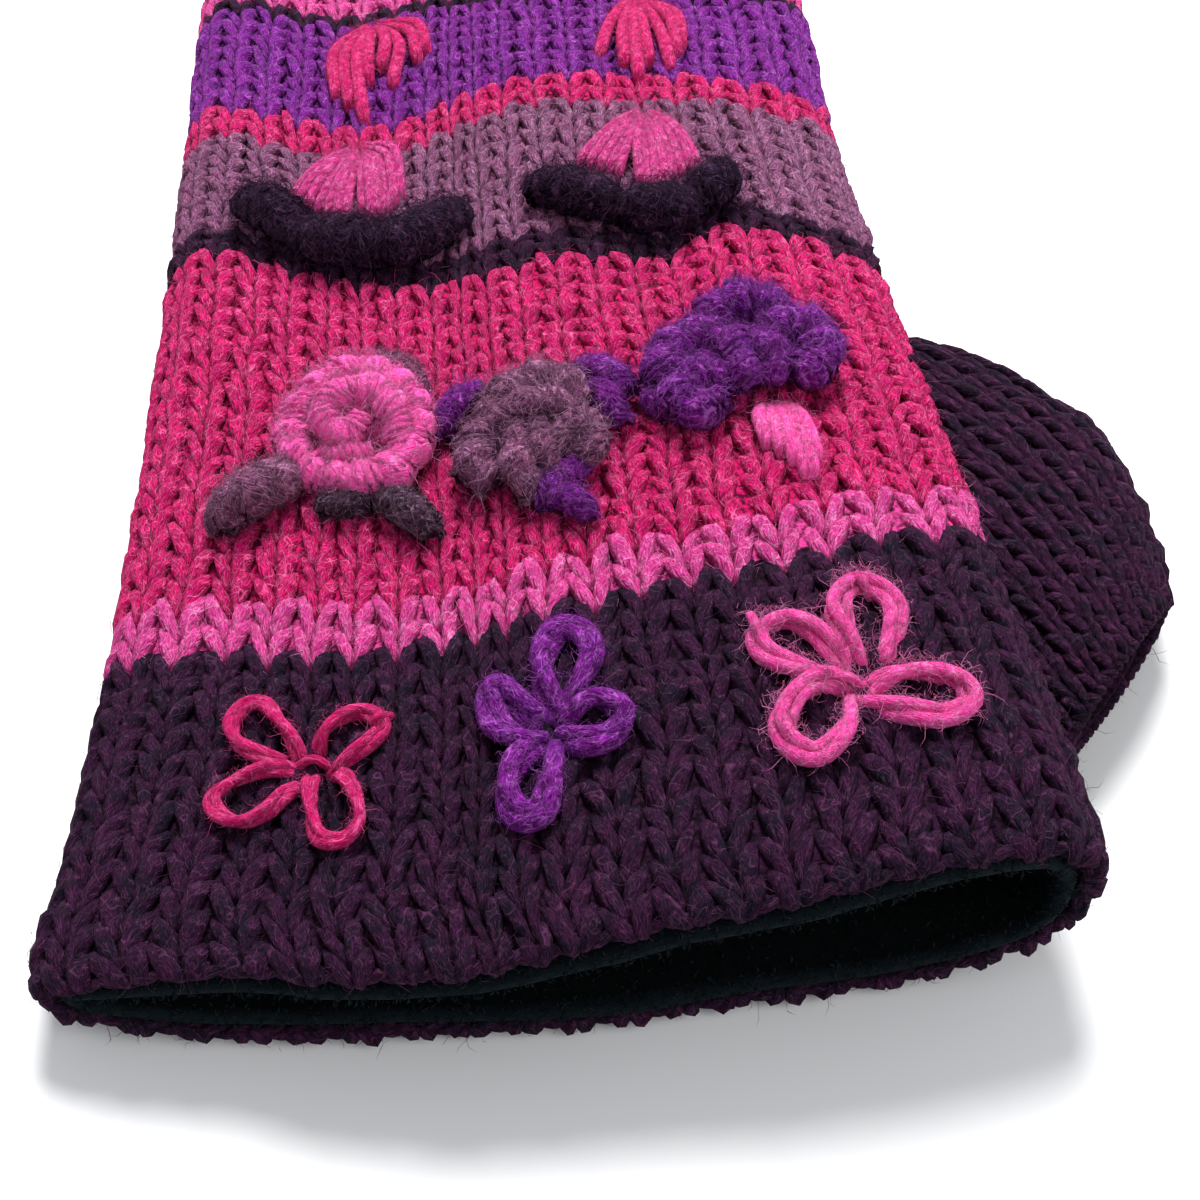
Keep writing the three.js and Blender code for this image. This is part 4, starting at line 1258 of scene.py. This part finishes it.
RIGHT_STITCHES = (
    ((15.8, 8.6, 0.3), (15.7, 9.2, 2.1), (15.7, 9.9, 0.3)),
    ((18.4, 10.0, 0.3), (18.2, 10.5, 2.1), (18.2, 11.0, 0.3)),
    ((17.7, 6.8, -0.4), (17.3, 6.9, 1.5), (17.0, 7.0, -0.4)),
)
DOUBLED = (
    ((17.6, 7.6, -0.9), (17.7, 8.6, 1.5), (17.8, 9.7, 1.7), (18.1, 10.4, 0.2)),
    ((17.3, 6.8, -0.9), (16.6, 6.6, 1.5), (16.1, 5.8, 1.5), (15.9, 5.0, 0.2)),
)
DAISIES = (
    # node, yarn, slot, loops, then their shift, ply, distance of the plies and twist
    # then the small stitches over them with their yarn, the loose fibres and their size
    ("daisy_left", daisy_crimson, "crimson_yarn", LEFT_DAISY, (0.3, 0.62, 0.40, 22.0),
     LEFT_STITCHES, 0.5, 4500000, 0.7),
    ("daisy_middle", purple, "purple_yarn", MIDDLE_DAISY, (0.34, 1.05, 0.68, 26.0),
     (), 0, 4400000, 0.8),
    ("daisy_right", daisy_pink, "pink_yarn", RIGHT_DAISY, (0.48, 0.80, 0.64, 34.0),
     RIGHT_STITCHES + DOUBLED, 0.55, 6500000, 1.0),
)
for name, yarn, slot, rounds, looped, small, small_yarn, density, size in DAISIES:
    strands = loops(rounds, *looped)
    strands += [laid(rounded_line(points, 5), small_yarn) for points in small]
    motif(name, "loops", yarn, slot, strands, density, size)

# The raised flowers, the leaves and the garlands are all wound yarn: a soft cord
# that is closely wrapped with thin yarn and then bent and stitched down.
WRAP_PITCH = 0.80
WRAP_YARN = 0.42
WRAP_STEPS = 8
WRAP_SUNK = 0.88
WRAP_SWELL = (0.88, 1.08)
WRAP_SLIDE = 0.22
CORE_SHARE = 0.95
LUMP_WAVE = 1.7
PAD_END = 0.15
PAD_RINGS = 7
PAD_FLATNESS = 0.8
chance = np.random.default_rng(7)


def wound(points, thickness, lump, lean):
    """A bent cord and its wrapping, as strands. Each point is stitch, row, height and share of thickness."""
    line = rounded_line(points, 8)
    places, ups = over_cloth(line)
    steps = np.linalg.norm(np.diff(places, axis=0), axis=1)
    along = np.concatenate([[0], np.cumsum(steps)])
    turns = max(4, round(along[-1] / WRAP_PITCH))
    count = turns * WRAP_STEPS + 1
    at = np.linspace(0, along[-1], count)

    def spread(values):
        return np.stack([np.interp(at, along, column) for column in values.T], axis=1)

    centre, up = spread(places), spread(ups)
    tangent = np.gradient(centre, axis=0)
    tangent /= np.linalg.norm(tangent, axis=1, keepdims=True)
    side = np.cross(tangent, up)
    side /= np.linalg.norm(side, axis=1, keepdims=True)
    out = np.cross(side, tangent)
    waves = 1 + lump * np.sin(at * LUMP_WAVE + chance.uniform(0, 6))
    turn, whole_turns = np.arange(count) / WRAP_STEPS, np.arange(turns + 1)
    each_turn = np.interp(turn, whole_turns, chance.uniform(*WRAP_SWELL, turns + 1))
    slide = np.interp(turn, whole_turns, chance.normal(0, WRAP_SLIDE, turns + 1))
    radius = (thickness * np.interp(at, along, line[:, 3]) * waves)[:, None]
    angle = (2 * np.pi * np.arange(count) / WRAP_STEPS + chance.uniform(0, 6))[:, None]
    wrap = centre + WRAP_SUNK * radius * each_turn[:, None] * (np.cos(angle) * side + np.sin(angle) * out)
    wrap += (lean * radius * np.cos(angle) + slide[:, None]) * tangent
    every = WRAP_STEPS // 2
    core = strand(centre[::every], CORE_SHARE * radius[::every, 0], sides=9, up=up[::every])
    return [strand(wrap, WRAP_YARN, sides=4, up=out), core]


def pad(stitch, row, height, radius):
    """A round lump of wool that fills the middle of a flower."""
    centre = on_cloth(stitch, row, height) / MM
    turn = np.linspace(PAD_END, np.pi - PAD_END, PAD_RINGS)
    line = centre + radius * np.cos(turn)[:, None] * np.array([1, 0, 0])
    return strand(line, radius * np.sin(turn), sides=10, flatten=PAD_FLATNESS)


def wound_all(cords, lump, lean, pads=()):
    """A motif's pads, and then its wound cords one after the other."""
    strands = [pad(*place) for place in pads]
    for thickness, points in cords:
        strands += wound(points, thickness, lump, lean)
    return strands


PINK_FLOWER = (
    (2.35, ((6.1, 18.2, 0.8, 0.7), (5.5, 19.0, 2.0, 1.0), (5.1, 20.2, 2.4, 1.0), (5.4, 21.5, 2.8, 1.05),
            (6.1, 22.6, 3.0, 1.1), (7.0, 22.8, 3.0, 1.1), (7.9, 21.8, 2.8, 1.05), (8.3, 20.4, 2.6, 1.05),
            (8.2, 18.9, 2.4, 1.05), (7.5, 17.8, 2.2, 1.1), (6.7, 17.9, 2.1, 1.0), (6.1, 18.6, 1.6, 0.7))),
    (2.1, ((7.9, 19.0, 3.0, 0.8), (7.9, 19.9, 4.4, 1.0), (7.5, 20.9, 5.2, 1.1), (6.8, 21.2, 5.3, 1.1),
           (6.2, 20.8, 4.8, 1.05), (6.2, 20.0, 4.0, 1.0), (6.7, 19.7, 3.8, 1.0), (7.1, 20.1, 4.4, 0.9))),
    (1.6, ((5.9, 19.4, 2.0, 0.9), (6.5, 19.0, 2.6, 1.1), (7.2, 19.0, 2.4, 1.0))),
)
PINK_PADS = ((6.8, 20.2, 2.0, 3.6), (6.9, 20.8, 3.0, 3.0), (6.3, 19.7, 1.6, 2.8), (7.5, 20.2, 2.6, 2.8))
MAUVE_FLOWER = (
    (2.7, ((10.12, 19.2, 2.0, 0.8), (10.52, 20.2, 3.0, 1.0), (11.22, 20.7, 3.4, 1.1),
           (12.02, 20.5, 3.4, 1.1), (12.52, 19.7, 2.6, 0.9))),
    (2.0, ((10.12, 18.7, 3.4, 0.8), (10.92, 19.3, 4.6, 1.1), (11.72, 19.3, 4.8, 1.1),
           (12.32, 19.0, 4.0, 0.8))),
    (2.2, ((11.92, 17.4, 2.6, 0.8), (12.12, 18.1, 3.8, 1.0), (12.52, 18.3, 3.8, 1.0),
           (12.72, 17.7, 3.0, 1.0), (12.32, 17.1, 2.0, 0.8))),
    (2.5, ((10.32, 19.0, 2.6, 0.8), (9.92, 18.5, 2.8, 1.0), (9.82, 17.6, 2.4, 1.1),
           (10.12, 16.8, 1.8, 0.9))),
    (2.1, ((10.92, 18.5, 3.4, 0.8), (10.82, 17.5, 3.6, 1.0), (10.92, 16.7, 2.8, 1.1),
           (11.12, 16.3, 1.4, 0.8))),
    (1.6, ((11.52, 18.6, 3.2, 0.8), (11.42, 17.9, 4.0, 1.1), (11.62, 17.1, 3.2, 1.0),
           (11.72, 16.6, 1.8, 0.8))),
)
MAUVE_PADS = ((11.02, 18.8, 1.6, 3.8), (11.72, 18.0, 1.6, 3.2))
PURPLE_FLOWER = (
    (2.9, ((15.8, 22.6, 2.2, 0.8), (16.4, 23.6, 3.4, 1.0), (17.3, 23.8, 3.8, 1.1), (18.1, 23.0, 3.4, 0.9))),
    (2.9, ((16.3, 22.3, 3.8, 0.8), (15.4, 22.1, 3.4, 1.0), (14.8, 21.2, 3.0, 1.05),
           (14.7, 20.2, 2.4, 0.85))),
    (2.9, ((17.4, 22.3, 3.4, 0.8), (18.2, 22.4, 3.8, 1.0), (18.7, 21.6, 3.6, 1.1), (18.6, 20.6, 3.0, 1.0),
           (18, 20.2, 2.2, 0.8))),
    (2.6, ((16.2, 20.2, 2.6, 0.8), (15.5, 20.2, 3.0, 1.0), (15, 19.5, 2.6, 1.1), (15.3, 18.8, 2.2, 1.0),
           (16, 19.2, 2.4, 0.8))),
    (1.4, ((14.5, 20.4, 1.0, 0.8), (14.3, 19.8, 1.6, 1.0), (14.6, 19.1, 1.0, 0.8))),
    (2.2, ((16, 21.8, 3.6, 0.8), (16.5, 21.3, 4.4, 1.0), (16.6, 20.4, 4.0, 1.0), (16.8, 19.7, 2.4, 0.8))),
    (2.0, ((17.1, 21.9, 3.6, 0.7), (17.3, 21.2, 4.4, 1.0), (17.5, 20.5, 3.6, 1.0), (17.3, 19.9, 2.2, 0.8))),
)
PURPLE_PADS = ((16.70, 21.8, 1.8, 4.0), (17.50, 21.4, 1.8, 3.8), (15.80, 20.9, 1.6, 3.6))
FLOWERS = (
    # node, yarn, slot, cords, pads, loose fibres
    ("flower_pink", flower_pink, "pink_yarn", PINK_FLOWER, PINK_PADS, 4700000),
    ("flower_mauve", mauve, "mauve_yarn", MAUVE_FLOWER, MAUVE_PADS, 3750000),
    ("flower_purple", purple, "purple_yarn", PURPLE_FLOWER, PURPLE_PADS, 3600000),
)
for name, yarn, slot, cords, pads, density in FLOWERS:
    motif(name, "wound", yarn, slot, wound_all(cords, 0.12, 0.4, pads), density, 1.0)

LEAVES = (
    # name, yarn, slot, cords
    ("leaf_left", dark_leaf, "dark_yarn", (
        (3.1, ((3.1, 17.6, 0.8, 0.6), (3.6, 17.8, 2.2, 0.9), (4.2, 18.1, 2.8, 1.05), (4.8, 18.4, 2.6, 1.0),
               (5.2, 18.6, 1.6, 0.75))),)),
    ("leaf_lower", shaded_leaf, "dark_yarn", (
        (2.1, ((7.5, 17.0, 1.0, 0.8), (7.9, 16.4, 2.0, 1.1), (8.3, 15.8, 2.0, 1.1), (8.6, 15.2, 1.0, 0.7))),
        (1.5, ((5.9, 17.4, 0.8, 0.8), (6.5, 17.0, 1.6, 1.1), (7.1, 17.0, 1.2, 0.9))))),
    ("leaf_upper", dark_leaf, "dark_yarn", (
        (1.5, ((7.1, 24.0, 0.6, 0.7), (7.6, 23.7, 1.4, 1.0), (8.1, 23.0, 1.6, 1.1),
               (8.4, 22.2, 0.8, 0.8))),)),
    ("leaf_between", purple, "purple_yarn", (
        (1.8, ((8.9, 19.8, 0.8, 0.8), (9.2, 20.5, 1.8, 1.1), (9.6, 21.1, 2.0, 1.0),
               (10.0, 21.6, 1.0, 0.8))),)),
    ("leaf_right", purple, "purple_yarn", (
        (1.8, ((12.5, 21.8, 1.2, 0.8), (12.9, 21.6, 2.2, 1.1), (13.4, 21.1, 2.4, 1.1),
               (13.8, 20.5, 1.4, 0.9))),
        (1.9, ((12.9, 20.8, 1.2, 0.8), (13.1, 20.2, 2.0, 1.1), (13.3, 19.5, 1.8, 1.0),
               (13.5, 19.0, 0.8, 0.7))))),
    ("leaf_below", purple, "purple_yarn", (
        (1.7, ((12.5, 17.4, 1.0, 0.8), (12.1, 16.8, 1.6, 1.1), (11.6, 16.2, 1.6, 1.1),
               (11.2, 15.9, 0.8, 0.7))),
        (1.6, ((11.4, 16.0, 0.8, 0.8), (11.8, 15.8, 1.6, 1.1), (12.2, 15.3, 1.6, 1.1),
               (12.4, 14.8, 0.8, 0.7))))),
)
for name, yarn, slot, cords in LEAVES:
    motif(name, "wound", yarn, slot, wound_all(cords, 0.03, -0.55), 3600000, 0.9)

GARLANDS = (
    ("garland_left", (
        (2.9, ((3.2, 35.2, 0.8, 0.7), (3.8, 34.3, 2.3, 1.1), (4.5, 33.2, 2.6, 1.2), (5.1, 32.1, 1.9, 0.9),
               (5.7, 31.3, 2.3, 1.15), (6.4, 30.8, 2.7, 1.3), (7.1, 30.5, 2.4, 1.2), (7.7, 30.3, 2.4, 1.2),
               (8.4, 30.5, 2.7, 1.3), (9.1, 31.2, 2.4, 1.15), (9.8, 32.5, 0.8, 0.7))),)),
    ("garland_right", (
        (2.9, ((12.0, 33.4, 0.8, 0.7), (12.5, 32.9, 2.3, 1.1), (13.2, 32.3, 2.6, 1.2),
               (13.9, 31.7, 2.3, 1.05), (14.35, 31.2, 1.6, 0.75), (14.8, 30.9, 2.4, 1.15),
               (15.4, 30.8, 2.7, 1.25), (16.0, 31.0, 2.4, 1.1), (16.5, 31.5, 1.6, 0.75),
               (16.9, 32.0, 2.4, 1.15), (17.4, 32.6, 2.4, 1.1), (17.8, 33.2, 0.9, 0.7))),)),
)
for name, cords in GARLANDS:
    motif(name, "wound", dark, "dark_yarn", wound_all(cords, 0.06, -0.4), 3400000, 1.25)

# The fans and the petal: single strands laid close side by side, all from about
# one point, those of the pink fans of thin yarn and the others of thick.
LEFT_FAN = (
    ((6.5, 38.4), (5.5, 36.8), (4.6, 34.9)), ((6.5, 38.3), (5.6, 36.5), (4.8, 34.5)),
    ((6.5, 38.2), (5.8, 36.2), (5.1, 34.1)), ((6.6, 38.1), (6.0, 36.0), (5.4, 33.7)),
    ((6.6, 38.0), (6.2, 35.8), (5.7, 33.3)), ((6.6, 37.9), (6.35, 35.7), (6.0, 33.0)),
    ((6.6, 37.8), (6.5, 35.6), (6.3, 32.9)),
    ((6.8, 38.5), (7.8, 37.2), (8.0, 34.0)), ((6.8, 38.3), (7.6, 36.7), (7.8, 33.5)),
    ((6.8, 38.1), (7.4, 36.4), (7.6, 33.1)), ((6.8, 37.9), (7.2, 36.1), (7.35, 32.9)),
    ((6.8, 37.8), (7.0, 35.9), (7.1, 32.8)), ((6.7, 37.7), (6.8, 35.8), (6.85, 33.2)),
)
RIGHT_FAN = (
    ((15.5, 39.6), (14.5, 37.6), (13.3, 35.2)), ((15.5, 39.5), (14.6, 37.3), (13.6, 34.9)),
    ((15.5, 39.4), (14.8, 37.0), (13.9, 34.6)), ((15.55, 39.3), (14.9, 36.8), (14.2, 34.4)),
    ((15.6, 39.2), (15.05, 36.7), (14.5, 34.2)), ((15.6, 39.1), (15.25, 36.4), (15.1, 33.3)),
    ((15.65, 39.1), (15.45, 36.2), (15.35, 32.8)), ((15.7, 39.1), (15.65, 36.2), (15.6, 32.6)),
    ((15.7, 39.2), (15.85, 36.4), (15.85, 32.9)), ((15.75, 39.3), (16.05, 36.7), (16.15, 33.5)),
    ((15.75, 39.4), (16.25, 37.0), (16.45, 34.0)), ((15.8, 39.5), (16.4, 37.2), (16.75, 34.3)),
    ((15.8, 39.6), (16.55, 37.4), (17.0, 34.7)),
)
TOP_LEFT_FAN = (
    ((6.8, 48.1), (5.85, 45.4), (5.95, 41.9)), ((6.9, 48.1), (6.2, 45.0), (6.4, 40.9)),
    ((7.0, 48.1), (6.6, 44.8), (6.85, 39.7)), ((7.1, 48.0), (6.95, 45.6), (6.95, 42.8)),
    ((7.2, 48.1), (7.95, 45.6), (7.75, 42.3)), ((7.1, 48.0), (7.5, 46.0), (7.4, 43.8)),
    ((7.3, 48.2), (8.3, 46.6), (8.55, 44.3)), ((7.2, 48.3), (8.5, 47.2), (8.85, 44.9)),
)
TOP_RIGHT_FAN = (
    ((15.6, 49.6), (14.9, 46.6), (14.45, 43.9)), ((15.8, 49.6), (15.3, 46.0), (15.25, 42.9)),
    ((15.9, 49.6), (15.65, 45.5), (15.65, 41.7)), ((16.0, 49.6), (16.0, 46.0), (16.05, 43.2)),
    ((16.1, 49.6), (16.5, 46.0), (16.75, 42.6)), ((16.2, 49.6), (16.9, 46.8), (17.0, 43.8)),
    ((16.2, 49.7), (17.15, 47.4), (17.2, 44.6)),
)
PETAL = (
    ((17.15, 19.6), (16.9, 18.6), (17, 17.2)), ((17.35, 19.6), (17.2, 18.2), (17.3, 16.7)),
    ((17.5, 19.7), (17.45, 17.9), (17.55, 16.1)), ((17.65, 19.7), (17.65, 17.7), (17.75, 15.6)),
    ((17.8, 19.6), (17.85, 17.6), (17.9, 15.6)), ((17.95, 19.4), (18, 17.8), (18.05, 16.2)),
)
FANS = (
    # node, yarn, slot, strands, half width of a strand, loose fibres
    ("fan_left", fan_pink, "pink_yarn", LEFT_FAN, 0.82, 3700000),
    ("fan_right", fan_pink, "pink_yarn", RIGHT_FAN, 0.82, 3700000),
    ("fan_top_left", daisy_crimson, "crimson_yarn", TOP_LEFT_FAN, 1.10, 4200000),
    ("fan_top_right", daisy_crimson, "crimson_yarn", TOP_RIGHT_FAN, 1.12, 4200000),
    ("petal_pink", daisy_pink, "pink_yarn", PETAL, 1.0, 4500000),
)
STRAND_TAPER = ((0, 0.6), (0.2, 0.9), (0.65, 1.0), (0.85, 0.8), (1, 0.35))
STRAND_FLATNESS = 0.9
STRAND_LIFTS = (1.0, 1.2, 1.4)
STRAND_START = -0.4
STRAND_END = -1.0
for name, yarn, slot, lines, half_width, density in FANS:
    strands = []
    for number, (start, middle, end) in enumerate(lines):
        lift = STRAND_LIFTS[number % 3]
        near_end = 0.8 * np.array(end) + 0.2 * np.array(middle)
        points = ((*start, STRAND_START), (*middle, lift), (*near_end, 0.75 * lift), (*end, STRAND_END))
        line = rounded_line(points, 5)
        taper = np.interp(np.linspace(0, 1, len(line)), *zip(*STRAND_TAPER))
        strands.append(laid(line, half_width * taper, STRAND_FLATNESS))
    motif(name, "strands", yarn, slot, strands, density, 0.8)

# The stitches, forms and loose fibres that the trees worked with are put away.
stitches = (stitch, palm_stitch, hem_stitch, thumb_stitch, thumb_palm_stitch)
forms = (tube_form["form"], thumb_form["form"])
for spent in (*stitches, *forms, *fibres.objects, *curls.objects, *tufts.objects):
    bpy.data.objects.remove(spent)
